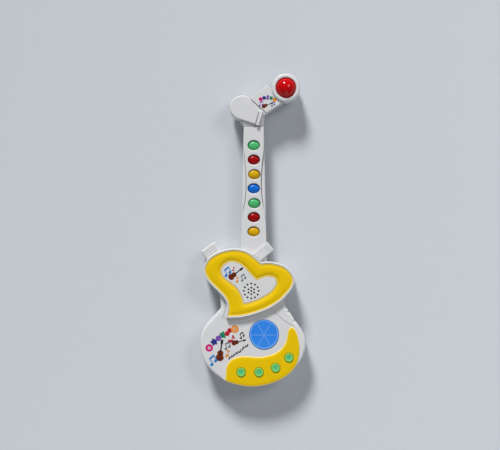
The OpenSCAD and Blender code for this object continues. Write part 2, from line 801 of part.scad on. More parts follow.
module ribbon_cable() {
    last = len(ribbon_path) - 1;
    side = [for (i = [0:last])
        let(t = unit(ribbon_path[min(i + 1, last)] - ribbon_path[max(i - 1, 0)])) [-t.y, t.x] * ribbon_t / 2];
    upper = [for (i = [0:last]) ribbon_path[i] + side[i]];
    lower = [for (i = [0:last]) ribbon_path[last - i] - side[last - i]];
    color("Gray") translate([-ribbon_w / 2, 0, 0]) rotate([90, 0, 90])
        linear_extrude(ribbon_w) polygon(concat(upper, lower));
}

wire_d = 1.2;

module wires(route, spread, up) {
    color("Crimson") for (s = [0, 1]) tube([for (p = route) p + s * spread], wire_d, up);
}

// Two wires from the speaker's terminals to the main board
module speaker_wires() {
    x = speaker_place.x + 14;
    y = speaker_place.y;
    wires([[x, y - 6, face_z - 6.4], [x + 3, y - 14, face_z - 6], [x + 4, y - 24, main_board_z + 2.6],
           [x + 3, -2 * by, main_board_z + 2.4], [x + 3, -8 * by, main_board_z + board_t + 0.8]],
          [2, 0, 0], [1, 0, 0]);
}

// Two wires from the cell plates, over the compartment's end, to the main board
module battery_wires() {
    y = pocket_y + pocket_l / 2 + pocket_wall;
    wires([[-18, y + 1, 8], [-18, y + 1.4, 13], [-18, y + 1.2, main_board_z - 3],
           [-18, y + 0.2, main_board_z - 1], [-18, y - 4, main_board_z - 0.9]], [3, 0, 0], [1, 0, 0]);
}

// Two wires from the light under the dome, through the head, to the neck board
module dome_led_wires() {
    z = head_split_z + 2.2;
    x = wire_window_x;
    top = neck_top_y;
    wires([[ring_place.x - 7, ring_place.y - 4, z + 0.6], [ring_place.x - 14, ring_place.y - 7, z + 1],
           [21 * hx, top + 0.4 + 33 * hx, z + 1.5], [8 * hx, top + 0.4 + 25 * hx, z + 1],
           [x - 0.8, top + 10, z + 0.4], [x - 0.8, top + 3, z + 0.3], [x - 0.8, top - 5, z + 0.3],
           [x - 1.2, neck_board_y[1] + 1.6, neck_board_z + 2.6],
           [x - 1.2, neck_board_y[1] - 1.4, neck_board_z + board_t + 0.8]], [1.4, -1.4, 0], [0, 0, 1]);
}

back_shell();
front_shell();
heart_panel();
heart_trim();
crescent_panel();
disc_lens();
button(button_places[0]);  // button_1
button(button_places[1]);  // button_2
button(button_places[2]);  // button_3
button(button_places[3]);  // button_4
button_keypad();
main_board();
chip_blob();
disc_led();
speaker_frame();
speaker_cone();
speaker_magnet();
neck_back();
neck_front();
key(1);  // key_1
key(2);  // key_2
key(3);  // key_3
key(4);  // key_4
key(5);  // key_5
key(6);  // key_6
key(7);  // key_7
neck_keypad();
neck_board();
head_back();
head_front();
dome_lens();
dome_led();
led_board();
cells();
cell_springs();
cell_plates();
battery_door();
door_screw();
switch_body();
switch_knob();
body_screws();
foot_screws();
neck_screws();
head_screws();
board_screws();
ribbon_cable();
speaker_wires();
battery_wires();
dome_led_wires();
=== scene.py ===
# %% [markdown]
# # Toy electric guitar
# A guitar-shaped battery toy: white moulded shells, a yellow heart, a yellow panel with four buttons,
# seven coloured keys in the neck, and a red dome at the end of the head.
# The CAD model is loaded first. It fixes every place and size, so the pieces made here take theirs from it.

# %% Load the frame
import math
import bmesh
import bpy
import numpy as np
from mathutils import Matrix, Vector


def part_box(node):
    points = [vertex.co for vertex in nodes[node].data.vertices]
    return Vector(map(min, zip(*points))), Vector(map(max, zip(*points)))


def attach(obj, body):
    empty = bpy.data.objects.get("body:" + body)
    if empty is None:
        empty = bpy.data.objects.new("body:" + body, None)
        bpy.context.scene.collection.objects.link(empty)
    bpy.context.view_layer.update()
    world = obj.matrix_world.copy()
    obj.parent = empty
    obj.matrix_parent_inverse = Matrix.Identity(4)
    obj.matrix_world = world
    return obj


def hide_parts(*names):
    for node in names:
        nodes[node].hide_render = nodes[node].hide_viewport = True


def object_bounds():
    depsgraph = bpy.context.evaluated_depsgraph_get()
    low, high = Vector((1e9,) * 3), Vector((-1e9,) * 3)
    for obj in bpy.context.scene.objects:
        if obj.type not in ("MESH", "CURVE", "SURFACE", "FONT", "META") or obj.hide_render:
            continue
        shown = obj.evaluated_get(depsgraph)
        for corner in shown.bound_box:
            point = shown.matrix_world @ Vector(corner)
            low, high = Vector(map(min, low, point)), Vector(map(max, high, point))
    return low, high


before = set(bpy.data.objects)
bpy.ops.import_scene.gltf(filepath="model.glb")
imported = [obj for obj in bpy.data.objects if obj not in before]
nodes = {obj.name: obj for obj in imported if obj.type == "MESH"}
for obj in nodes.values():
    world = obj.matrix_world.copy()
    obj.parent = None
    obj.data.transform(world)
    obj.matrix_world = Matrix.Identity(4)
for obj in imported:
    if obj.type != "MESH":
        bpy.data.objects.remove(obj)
cad_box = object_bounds()
MM = 0.001
print("nodes", len(nodes), "size in mm", [round(v / MM, 1) for v in cad_box[1] - cad_box[0]])

# %% [markdown]
# ## The light, the floor and the camera
# The toy lies on its back and is seen from straight above, through a lens long enough to keep the neck
# and the body in proportion. A broad sun, low at the head's end, lights body and head evenly and puts a
# thin shadow at the upper edge of each sunken key. Two soft area lights fill in from other sides.

# %% Camera
MIDDLE = (cad_box[0] + cad_box[1]) / 2
CAMERA_LENS, SENSOR = 85, 36
FACE_HEIGHT, VIEW_WIDTH = 30, 590  # the view's width in mm, at the height of the body's face
cam = bpy.data.objects.new("camera", bpy.data.cameras.new("camera"))
bpy.context.scene.collection.objects.link(cam)
cam.data.lens = CAMERA_LENS
cam.data.sensor_width = SENSOR
cam.location = (-4.5 * MM, 108.6 * MM, (FACE_HEIGHT + VIEW_WIDTH * CAMERA_LENS / SENSOR) * MM)
bpy.context.scene.camera = cam
print("camera height in m", round(cam.location.z, 3))


# %% Lights
def light(name, kind, direction, energy):
    """A light that shines along a direction. Returns the object and its lamp."""
    lamp = bpy.data.lights.new(name, kind)
    lamp.energy = energy
    holder = bpy.data.objects.new(name, lamp)
    bpy.context.scene.collection.objects.link(holder)
    holder.rotation_euler = Vector(direction).to_track_quat("-Z", "Y").to_euler()
    return holder, lamp


def soft_light(name, place, size, watts):
    """A square area light at a place in metres, turned to face the toy's middle."""
    holder, lamp = light(name, "AREA", MIDDLE - Vector(place), watts)
    holder.location = place
    lamp.shape, lamp.size = "SQUARE", size


# The main light is far away and low, so it falls evenly on body and head
_, sun = light("key_light", "SUN", (0.8, -2.9, -1.75), 3.3)
sun.angle = math.radians(13)
soft_light("second_light", (1.3, 1.2, 1.9), 0.8, 11)
soft_light("fill_light", (0.2, -1.5, 1.4), 1.2, 4.5)
world = bpy.data.worlds.new("studio")
bpy.context.scene.world = world
world.use_nodes = True
sky = world.node_tree.nodes["Background"]
sky.inputs["Color"].default_value = (0.86, 0.88, 0.92, 1)
sky.inputs["Strength"].default_value = 0.2
bpy.context.scene.view_settings.view_transform = "Standard"

# %% [markdown]
# ## Materials
# Nearly all of the toy is injection-moulded ABS. Its surface copies the steel mould: smooth, with a very
# fine spark-eroded grain that only shows as a soft break in the highlights, and a faint unevenness of
# colour where the melt flowed. A Principled shader with a low bump and a little noise in its colour and
# roughness says all of that. Patterns use object coordinates, so they keep their real size on every piece.

# %% Colour and node helpers
def linear(code, alpha=1.0):
    """Linear colour from an sRGB hex value."""
    parts = [int(code[i:i + 2], 16) / 255 for i in (1, 3, 5)]
    return [c / 12.92 if c <= 0.04045 else ((c + 0.055) / 1.055) ** 2.4 for c in parts] + [alpha]


def add(tree, kind, settings=None, inputs=None):
    """Adds a node. Settings are its own properties; an input is a value, or the socket that feeds it."""
    node = tree.nodes.new(kind)
    for name, value in (settings or {}).items():
        setattr(node, name, value)
    for name, value in (inputs or {}).items():
        if isinstance(value, bpy.types.NodeSocket):
            tree.links.new(value, node.inputs[name])
        else:
            node.inputs[name].default_value = value
    return node


def new_material(name):
    """An empty material: its node tree, and the shader that feeds its output."""
    material = bpy.data.materials.new(name)
    material.use_nodes = True
    tree = material.node_tree
    return material, tree, tree.nodes["Principled BSDF"]


# %% Moulded plastic
def moulded(name, colour, shade, roughness=0.36, grain=0.7, depth=0.012, flow=24, clarity=0.0, sheen=0.3):
    """Moulded plastic. Colour and shade are its two hex tones; grain, depth and flow are in mm."""
    material, tree, shader = new_material(name)
    place = add(tree, "ShaderNodeTexCoord").outputs["Object"]
    melt = add(tree, "ShaderNodeTexNoise", {"noise_dimensions": "3D"},
               {"Vector": place, "Scale": 1000 / flow, "Detail": 2.0, "Roughness": 0.5})
    # Inputs 0, 6 and 7 of a colour mix are its factor and its two colours
    tone = add(tree, "ShaderNodeMix", {"data_type": "RGBA"},
               {0: melt.outputs["Fac"], 6: linear(colour), 7: linear(shade)})
    skin = add(tree, "ShaderNodeTexNoise", {},
               {"Vector": place, "Scale": 1000 / grain, "Detail": 3.0, "Roughness": 0.6})
    gloss = add(tree, "ShaderNodeMapRange", {},
                {"Value": skin.outputs["Fac"], "To Min": roughness - 0.05, "To Max": roughness + 0.06})
    bump = add(tree, "ShaderNodeBump", {},
               {"Height": skin.outputs["Fac"], "Strength": 1.0, "Distance": depth * MM})
    tree.links.new(tone.outputs[2], shader.inputs["Base Color"])
    tree.links.new(gloss.outputs["Result"], shader.inputs["Roughness"])
    tree.links.new(bump.outputs["Normal"], shader.inputs["Normal"])
    shader.inputs["IOR"].default_value = 1.53
    shader.inputs["Specular IOR Level"].default_value = sheen
    shader.inputs["Transmission Weight"].default_value = clarity
    return material


# ABS for toys, from a satin mould: a broad soft highlight on a faintly grey white
finish = {"white_abs": moulded("white_abs_moulded", "#D9D9D9", "#D3D3D4", 0.38)}
# The same ABS with a warm yellow masterbatch; a satin mould too
finish["yellow_abs"] = moulded("yellow_abs_moulded", "#EAC300", "#E2B900", 0.4, flow=30, sheen=0.16)
# Black ABS of the switch's knob: the grain shows more on a dark piece
finish["black_abs"] = moulded("black_abs_moulded", "#1B1B1D", "#242427", 0.42)
# Clear polystyrene tinted blue, over a white light: mostly body colour, glossy outside
finish["blue_lens"] = moulded("blue_polystyrene_lens", "#2C80E6", "#3E92F2", 0.2,
                              depth=0.004, clarity=0.06, sheen=0.25)
# Clear polystyrene tinted red and polished in the mould, so its highlights are small and sharp
finish["red_lens"] = moulded("red_polystyrene_lens", "#D40004", "#C00003", 0.12,
                             depth=0.002, clarity=0.16, sheen=0.22)
# Keys and buttons are glossier than the shells, because small mould inserts are polished
finish["key_green"] = moulded("green_abs_key", "#4FBC74", "#46B069", 0.3, depth=0.006)
finish["key_red"] = moulded("red_abs_key", "#A20006", "#920004", 0.3, depth=0.006, sheen=0.16)
finish["key_yellow"] = moulded("yellow_abs_key", "#DAAC00", "#D0A000", 0.3, depth=0.006, sheen=0.18)
finish["key_blue"] = moulded("blue_abs_key", "#0E70DC", "#0A66CC", 0.3, depth=0.006, sheen=0.2)
finish["button_green"] = moulded("green_abs_button", "#55C48C", "#4CB981", 0.28, depth=0.006)
# Keypads of silicone rubber: matt and slightly dusty
finish["silicone"] = moulded("silicone_rubber_moulded", "#5B5D60", "#535558", 0.62, grain=0.5)
# Epoxy blob over the chip: poured, so it is smooth and very dark
finish["epoxy"] = moulded("epoxy_poured", "#121213", "#181819", 0.2, depth=0.003)
# Paper pulp of the speaker's cone: fibres of about half a millimetre, and no gloss
finish["speaker_paper"] = moulded("paper_pulp_pressed", "#2A2A2B", "#363637", 0.85, grain=0.5, depth=0.05)
# Ferrite of the magnet: sintered, dark grey and matt
finish["ferrite"] = moulded("ferrite_sintered", "#3A3A3D", "#2F2F31", 0.6, grain=0.3)
# Cover of the wires: soft PVC
finish["wire_cover"] = moulded("pvc_wire_cover", "#B7323A", "#A82A32", 0.45)
# Printed sleeve of a cell: a gloss film
finish["cell_jacket"] = moulded("cell_sleeve_film", "#2F6E4A", "#2A6644", 0.25, depth=0.004)
# Clear epoxy of an LED
finish["led_resin"] = moulded("led_resin_cast", "#F3EFE6", "#EAE5DA", 0.12, depth=0.002, clarity=0.4)
print("finishes", sorted(finish))

# %% [markdown]
# Two finishes aren't plastic. Screws, springs and plates are nickel-plated steel, drawn or stamped, with
# fine streaks along the metal. The boards are phenolic paper under a green solder resist, which is a
# thin glossy lacquer over copper tracks that stand about 35 micrometres proud.

# %% Metal and board
steel, tree, shader = new_material("steel_nickel_plated")
place = add(tree, "ShaderNodeTexCoord").outputs["Object"]
streak = add(tree, "ShaderNodeTexNoise", {}, {"Vector": place, "Scale": 1000 / 0.8, "Detail": 4.0})
rough = add(tree, "ShaderNodeMapRange", {}, {"Value": streak.outputs["Fac"], "To Min": 0.2, "To Max": 0.42})
tree.links.new(rough.outputs["Result"], shader.inputs["Roughness"])
shader.inputs["Base Color"].default_value = linear("#C9C7C0")
shader.inputs["Metallic"].default_value = 1.0
finish["plated_steel"] = steel

board, tree, shader = new_material("board_solder_resist")
place = add(tree, "ShaderNodeTexCoord").outputs["Object"]
# Tracks about 1 mm wide, as cells of a Voronoi pattern
tracks = add(tree, "ShaderNodeTexVoronoi", {"feature": "DISTANCE_TO_EDGE"},
             {"Vector": place, "Scale": 1000 / 3.0})
copper = add(tree, "ShaderNodeMapRange", {},
             {"Value": tracks.outputs["Distance"], "From Min": 0.1, "From Max": 0.16})
green = add(tree, "ShaderNodeMix", {"data_type": "RGBA"},
            {0: copper.outputs["Result"], 6: linear("#12502B"), 7: linear("#1E6E3C")})
lift = add(tree, "ShaderNodeBump", {}, {"Height": copper.outputs["Result"], "Distance": 0.035 * MM})
tree.links.new(green.outputs[2], shader.inputs["Base Color"])
tree.links.new(lift.outputs["Normal"], shader.inputs["Normal"])
shader.inputs["Roughness"].default_value = 0.3
finish["circuit_board"] = board

# Every CAD node takes the finish that its material slot names
for node in nodes.values():
    for i, old in enumerate(node.data.materials):
        node.data.materials[i] = finish[old.name.split(".")[0]]
print("materials", len(finish))

# %% [markdown]
# ## Shapes from the CAD
# The CAD pieces have the right outlines but hard edges. A moulded piece has a rounding on every edge it
# shows, so each visible piece is made again. A copy of the CAD mesh is cut by a level plane, which leaves
# its outline at that height. The outline is then extruded step by step along a profile, such as up a
# wall and over a rounding, and the open ends are filled. The size stays exactly the CAD's.

# %% Outline of a node at a height
def area(loop):
    """Signed area of a loop: positive when it runs anticlockwise."""
    x, y = np.array(loop).T
    return float(np.sum(x * np.roll(y, -1) - np.roll(x, -1) * y)) / 2


def inside(p, loop):
    """Whether a point lies in a loop, by counting the edges to its right."""
    a = np.array(loop)
    b = np.roll(a, -1, axis=0)
    over = (a[:, 1] > p[1]) != (b[:, 1] > p[1])
    with np.errstate(divide="ignore", invalid="ignore"):
        cross = a[:, 0] + (p[1] - a[:, 1]) / (b[:, 1] - a[:, 1]) * (b[:, 0] - a[:, 0])
    return bool(np.sum(over & (p[0] < cross)) % 2)


def clean(loop, least=0.004):
    """Leaves out the points that stand less than this many mm off the line between their neighbours."""
    points = list(loop)
    i = 0
    while i < len(points) and len(points) > 3:
        a, b, c = (np.array(points[(i + k) % len(points)]) for k in (-1, 0, 1))
        span = np.linalg.norm(c - a)
        off = abs((c - a)[0] * (b - a)[1] - (c - a)[1] * (b - a)[0]) / max(span, 1e-9)
        if off < least:
            points.pop(i)
        else:
            i += 1
    return points


def section(node, height):
    """The loops in mm, largest first, where a level plane cuts a node. Material lies on their left."""
    bm = bmesh.new()
    bm.from_mesh(nodes[node].data)
    bmesh.ops.remove_doubles(bm, verts=bm.verts, dist=1e-6)
    bmesh.ops.bisect_plane(bm, geom=bm.verts[:] + bm.edges[:] + bm.faces[:], dist=1e-7,
                           plane_co=(0, 0, height * MM), plane_no=(0, 0, 1),
                           clear_inner=True, clear_outer=True)
    loops, left = [], set(bm.verts)
    while left:
        first = at = min(left, key=lambda v: (v.co.x, v.co.y))
        loop, came = [], None
        while True:
            left.discard(at)
            loop.append((at.co.x / MM, at.co.y / MM))
            ways = [e.other_vert(at) for e in at.link_edges]
            step = next((v for v in ways if v is not came and (v in left or v is first)), None)
            if step is None or step is first:
                break
            came, at = at, step
        if len(loop) > 2:
            loops.append(clean(loop))
    bm.free()
    loops.sort(key=lambda l: -abs(area(l)))
    depth = [sum(inside(l[0], other) for other in loops if other is not l) for l in loops]
    return [l if (area(l) > 0) == (d % 2 == 0) else l[::-1] for l, d in zip(loops, depth)]


print("points of each loop in the heart:", [len(loop) for loop in section("heart_panel", 33.5)])


# %% Rings: offset, skirt and cap
def distance(points, loop):
    """Distance in mm from each point to the nearest edge of a loop."""
    p = np.array(points)[:, None, :]
    a = np.array(loop)[None, :, :]
    d = np.roll(a, -1, axis=1) - a
    t = np.clip(np.sum((p - a) * d, axis=2) / np.maximum(np.sum(d * d, axis=2), 1e-12), 0, 1)
    return np.min(np.linalg.norm(p - a - t[..., None] * d, axis=2), axis=1)


def offset(loop, amount):
    """The loop moved towards its material. Points that a corner would fold back gather in the corner."""
    p = np.array(loop)
    amount = np.broadcast_to(amount, len(p)).astype(float)
    along = np.roll(p, -1, axis=0) - p
    along /= np.linalg.norm(along, axis=1)[:, None]
    normal = np.stack([-along[:, 1], along[:, 0]], axis=1)
    before = np.roll(normal, 1, axis=0)
    both = normal + before
    both /= np.maximum(np.sum(both * normal, axis=1), 0.3)[:, None]
    moved = p + both * amount[:, None]
    if np.max(np.abs(amount)) < 0.05:
        return moved
    good = distance(moved, loop) > np.abs(amount) * 0.96 - 0.01
    if not good.any():
        return moved
    kept = np.flatnonzero(good)
    for i in np.flatnonzero(~good):
        ahead, behind = (kept - i) % len(p), (i - kept) % len(p)
        nearest = np.argmin(ahead) if ahead.min() < behind.min() else np.argmin(behind)
        moved[i] = moved[kept[nearest]]
    for _ in range(12):
        back = np.sum((np.roll(moved, -1, axis=0) - moved) * along, axis=1) < -1e-9
        for i in np.flatnonzero(back):
            moved[(i + 1) % len(p)] = moved[i]
        if not back.any():
            break
    return moved


def skirt(bm, loop, profile, ease=1.0):
    """Extrudes a loop along (inset, height) steps in mm. Ease scales the inset, point by point."""
    rings = [offset(loop, inset * np.asarray(ease)) for inset, _ in profile]
    levels = [np.broadcast_to(height, len(loop)) for _, height in profile]
    verts = [bm.verts.new((x * MM, y * MM, z * MM)) for (x, y), z in zip(rings[0], levels[0])]
    edges = [bm.edges.new((v, verts[i - 1])) for i, v in enumerate(verts)]
    for ring, level in zip(rings[1:], levels[1:]):
        made = bmesh.ops.extrude_edge_only(bm, edges=edges)["geom"]
        fresh = {g for g in made if isinstance(g, bmesh.types.BMVert)}
        verts = [next(e.other_vert(v) for e in v.link_edges if e.other_vert(v) in fresh) for v in verts]
        for v, (x, y), z in zip(verts, ring, level):
            v.co = (x * MM, y * MM, z * MM)
        edges = [g for g in made if isinstance(g, bmesh.types.BMEdge) and all(v in fresh for v in g.verts)]


def cap(bm, *heights):
    """Fills what is still open at each height."""
    bmesh.ops.remove_doubles(bm, verts=bm.verts, dist=2e-7)
    bmesh.ops.dissolve_degenerate(bm, dist=2e-7, edges=bm.edges)
    for h in heights:
        edges = [e for e in bm.edges
                 if len(e.link_faces) == 1 and all(abs(v.co.z / MM - h) < 0.002 for v in e.verts)]
        bmesh.ops.triangle_fill(bm, use_beauty=True, use_dissolve=False, edges=edges, normal=(0, 0, 1))


def rounding(radius, top, steps=5, start=0.0):
    """Profile of a rounded upper edge, from the wall to the top."""
    turns = [math.pi / 2 * i / steps for i in range(steps + 1)]
    return [(start + radius * (1 - math.cos(t)), top - radius * (1 - math.sin(t))) for t in turns]


def under(radius, bottom, steps=5):
    """Profile of a rounded lower edge, from the bottom to the wall."""
    turns = [math.pi / 2 * i / steps for i in range(steps + 1)]
    return [(radius * (1 - math.sin(t)), bottom + radius * (1 - math.cos(t))) for t in turns]


def front_wall(wall, ceiling, joint, seam):
    """Profile of a front shell's wall: down its inside, across the joint and out over a small bevel."""
    return [(wall, ceiling), (wall, joint), (seam, joint), (0, joint + seam)]


def back_wall(wall, floor, joint, seam):
    """Profile of a back shell's wall: the small bevel, across the joint and down its inside."""
    return [(0, joint - seam), (seam, joint), (wall, joint), (wall, floor)]


# %% [markdown]
# A finished mesh is shaded smooth, except where it turns sharply, and a Weighted Normal modifier lets the
# large flat faces keep their own direction, so that the small roundings next to them carry all the bend.

# %% Finish a piece
BODY = "guitar"


def piece(bm, name, material, body=BODY, stands_for=(), sharp=40):
    """Turns a bmesh into an object, shades it, and gives it to the frame."""
    bmesh.ops.remove_doubles(bm, verts=bm.verts, dist=2e-7)
    bmesh.ops.dissolve_degenerate(bm, dist=2e-7, edges=bm.edges)
    bmesh.ops.recalc_face_normals(bm, faces=bm.faces)
    gaps = sum(1 for e in bm.edges if len(e.link_faces) != 2)
    mesh = bpy.data.meshes.new(name)
    bm.to_mesh(mesh)
    bm.free()
    o = bpy.data.objects.new(name, mesh)
    bpy.context.scene.collection.objects.link(o)
    for m in material if isinstance(material, list) else [material]:
        mesh.materials.append(m)
    mesh.shade_smooth()
    mesh.set_sharp_from_angle(angle=math.radians(sharp))
    weighted = o.modifiers.new("weighted_normals", "WEIGHTED_NORMAL")
    weighted.keep_sharp = True
    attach(o, body)
    if stands_for:
        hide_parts(*stands_for)
    print(f"{name}: {len(mesh.polygons)} faces, {gaps} open edges")
    return o


def round_loop(x, y, radius, count=48, squeeze=1.0, hole=False):
    """A circle or an oval as a loop: anticlockwise, or clockwise for a hole."""
    turns = [2 * math.pi * i / count for i in range(count)]
    loop = [(x + radius * math.cos(t), y + radius * squeeze * math.sin(t)) for t in turns]
    return loop[::-1] if hole else loop


def screw_well(bm, x, y, low, seat, top, floor):
    """A screw's well, as one circle led in from the back, over the seat, up the bore and over the boss."""
    skirt(bm, round_loop(x, y, 2.7, 32, hole=True),
          [(0.3, low), (0, low + 0.3), (0, seat), (-1.25, seat), (-1.25, top), (0.7, top), (0.7, floor)])


def rectangle(x, y, width, length):
    """A rectangle about a point, as a loop."""
    w, l = width / 2, length / 2
    return [(x - w, y - l), (x + w, y - l), (x + w, y + l), (x - w, y + l)]


def join(bm, extra):
    """Adds one bmesh to another and frees it."""
    mesh = bpy.data.meshes.new("layer")
    extra.to_mesh(mesh)
    extra.free()
    bm.from_mesh(mesh)
    bpy.data.meshes.remove(mesh)


# %% Places and sizes of the CAD
def middle(node):
    """Middle of a node's box, in mm."""
    low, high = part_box(node)
    return (low + high) / 2 / MM


def span(node):
    """Size of a node's box, in mm."""
    low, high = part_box(node)
    return (high - low) / MM


def level(node, side):
    """Height in mm of a node's underside, side 0, or of its top, side 1."""
    return round(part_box(node)[side].z / MM, 3)


def extent(loop):
    """Width and length of a loop."""
    return np.ptp(np.array(loop), axis=0)


# Places on the body are given in mm from the speaker's middle
SPEAKER_X, SPEAKER_Y, _ = middle("speaker_frame")


def on_body(dx, dy):
    """A place on the body."""
    return SPEAKER_X + dx, SPEAKER_Y + dy


FACE, JOINT, RIM = level("crescent_panel", 0), level("front_shell", 0), level("heart_panel", 1)
WALL, SEAM = 2.2, 0.35
print("face, joint and rim at", FACE, JOINT, RIM)


# %% [markdown]
# ## Front shell of the body
# The shell's outline is cut just under its face. Two finger notches on the right flank come out of the
# CAD as tiny half circles; here they are eased into shallow dents, as a mould would have them. The big
# rounding of the face fades out where the heart and the yellow panel reach the edge, because those
# pieces carry their own rounding there.

# %% Notches and fading
outline, *face_holes = section("front_shell", FACE - 1)
rim_loop = section("heart_panel", RIM - 0.8)[0]
panel_loop = section("crescent_panel", FACE + 0.6)[0]
lug_plate = section("front_shell", FACE + 0.5)[0]
# Each step of the waist lies between two corners
WAIST_STEPS = ((on_body(-43, -16), on_body(-32, 0.9)), (on_body(39.5, -15), on_body(45.4, -1)))


def without_notches(loop, depth=1.5, reach=0.75):
    """Swaps each run of very short edges, which is a notch, for a shallow dent."""
    p = np.array(loop)
    p = np.roll(p, -int(np.argmax(p[:, 1])), axis=0)
    short = np.linalg.norm(np.roll(p, -1, axis=0) - p, axis=1) < reach
    out, i = [], 0
    while i < len(p):
        run = i
        while run < len(p) and short[run]:
            run += 1
        if run - i >= 5:
            a, b = p[i], p[run % len(p)]
            line = (b - a) / np.linalg.norm(b - a)
            inward = np.array([-line[1], line[0]])
            out += [tuple(a - line * 1.2), tuple(a + line * 0.3 + inward * 0.25)]
            out += [tuple(a + (b - a) * t + inward * depth * math.sin(math.pi * t) ** 0.7)
                    for t in (0.3, 0.5, 0.7)]
            out += [tuple(b - line * 0.3 + inward * 0.25), tuple(b + line * 1.2)]
            i = run + 1
        else:
            out.append(tuple(p[i]))
            i += 1
    return out


def eased_waist(loop):
    """Bridges the two steps where the waist comes out from under the heart, each with one smooth curve."""
    for (x0, y0), (x1, y1) in WAIST_STEPS:
        out = [not (x0 < x < x1 and y0 < y < y1) for x, y in loop]
        first = next(i for i in range(len(loop)) if out[i - 1] and not out[i])
        last = next(i for i in range(len(loop)) if not out[i - 1] and out[i])
        a, b = np.array(loop[first - 1]), np.array(loop[last])
        length = np.linalg.norm(b - a)
        into, onward = a - np.array(loop[first - 2]), np.array(loop[(last + 1) % len(loop)]) - b
        into, onward = into / np.linalg.norm(into) * length, onward / np.linalg.norm(onward) * length
        curve = []
        for k in range(1, 8):
            t = k / 8
            curve.append(tuple((2 * t ** 3 - 3 * t ** 2 + 1) * a + (t ** 3 - 2 * t ** 2 + t) * into
                               + (3 * t ** 2 - 2 * t ** 3) * b + (t ** 3 - t ** 2) * onward))
        loop = loop[:first] + curve + loop[last:] if first < last else curve + loop[last:first]
    return loop


body_loop = eased_waist(without_notches(outline))
near_heart = np.clip((distance(body_loop, rim_loop) - 0.6) / 7, 0, 1)
near_panel = 0.14 + 0.86 * np.clip((distance(body_loop, panel_loop) - 1.2) / 5, 0, 1)
near_lug = 0.35 + 0.65 * np.clip((distance(body_loop, lug_plate) - 0.4) / 4, 0, 1)
face_ease = np.minimum(np.minimum(near_heart ** 1.5, near_panel), near_lug)
print("outline points", len(outline), "->", len(body_loop), "and holes", len(face_holes))

# %% The shell
bm = bmesh.new()
skirt(bm, body_loop, front_wall(WALL, FACE - WALL, JOINT, SEAM))
skirt(bm, body_loop, [(0, JOINT + SEAM)] + rounding(3.2, FACE, 7), face_ease)
for hole in face_holes:
    skirt(bm, hole, [(0, FACE - WALL)] + rounding(0.3, FACE, 2))


def scored(points, width=0.7, steps=6):
    """A thin closed slot that follows a smooth curve and tapers to its ends, as a hole."""
    p = [np.array(q, float) for q in points]
    p = [2 * p[0] - p[1]] + p + [2 * p[-1] - p[-2]]
    curve = []
    for i in range(1, len(p) - 2):
        a, b, c, d = p[i - 1:i + 3]
        for k in range(steps):
            t = k / steps
            curve.append(0.5 * (2 * b + (c - a) * t + (2 * a - 5 * b + 4 * c - d) * t ** 2
                                + (3 * b - a - 3 * c + d) * t ** 3))
    curve = np.array(curve + [p[-2]])
    along = np.gradient(curve, axis=0)
    along /= np.linalg.norm(along, axis=1)[:, None]
    side = np.stack([-along[:, 1], along[:, 0]], axis=1)
    order = np.arange(len(curve))
    half = width / 2 * np.clip(np.minimum(order, order[::-1]) / 2, 0.12, 1)[:, None]
    loop = [tuple(q) for q in curve - side * half] + [tuple(q) for q in (curve + side * half)[::-1]]
    return loop[::-1] if area(loop) > 0 else loop


# Two scored lines: one sets off the finger grip on the right flank, one follows the left of the waist
GRIP_LINE = [on_body(*p) for p in ((24.5, -20.5), (30, -27.5), (37, -34), (44, -38.5), (51.5, -42.5))]
WAIST_LINE = [on_body(*p) for p in ((-31.8, -11), (-30.6, -19), (-31.6, -26), (-35, -34))]
SCORE_DEPTH = 0.7
for line in (GRIP_LINE, WAIST_LINE):
    skirt(bm, scored(line), [(0, FACE - SCORE_DEPTH), (0, FACE - 0.12), (0.12, FACE)])
cap(bm, FACE, FACE - WALL, FACE - SCORE_DEPTH)


def lug_loop(end, angle, width, length, corner=1.6):
    """Outline of a lug: a rectangle whose far end is centred on a point and faces along an angle."""
    a = math.radians(angle)
    ahead, left = Vector((math.cos(a), math.sin(a))), Vector((-math.sin(a), math.cos(a)))
    loop = []
    for u, v, turn in ((-length, -1, 180), (0, -1, 270), (0, 1, 0), (-length, 1, 90)):
        mid = Vector(end) + ahead * (u + (corner if u < 0 else -corner)) + left * v * (width / 2 - corner)
        for k in range(5):
            t = math.radians(turn + 22.5 * k) + a
            loop.append(tuple(mid + Vector((math.cos(t), math.sin(t))) * corner))
    return loop


# The left lug stands out under the face, and three low ribs cross its top
LEFT_END, LEFT_ANGLE, LUG_TOP, LUG_LOW = on_body(-51.7, 52.5), 125.5, FACE - 4, 6
left_lug = lug_loop(LEFT_END, LEFT_ANGLE, 20, 26)
skirt(bm, left_lug, [(SEAM, JOINT), (0, JOINT + SEAM)] + rounding(1.8, LUG_TOP))
cap(bm, JOINT, LUG_TOP)
# The right lug lies over the neck's foot, a millimetre above the face
RIGHT_ANGLE, PLATE_TOP = 39, FACE + 1
skirt(bm, lug_plate, [(0, FACE - 0.6)] + rounding(0.7, PLATE_TOP, 4))
cap(bm, FACE - 0.6, PLATE_TOP)
# Where the right lug stands out beside the neck, a plate closes it underneath
under_lug = lug_loop(on_body(22.7, 52.75), RIGHT_ANGLE, 11.0, 8.5, 0.8)
skirt(bm, under_lug, [(0, JOINT + 0.3), (0, JOINT + 1.6)])
cap(bm, JOINT + 0.3, JOINT + 1.6)


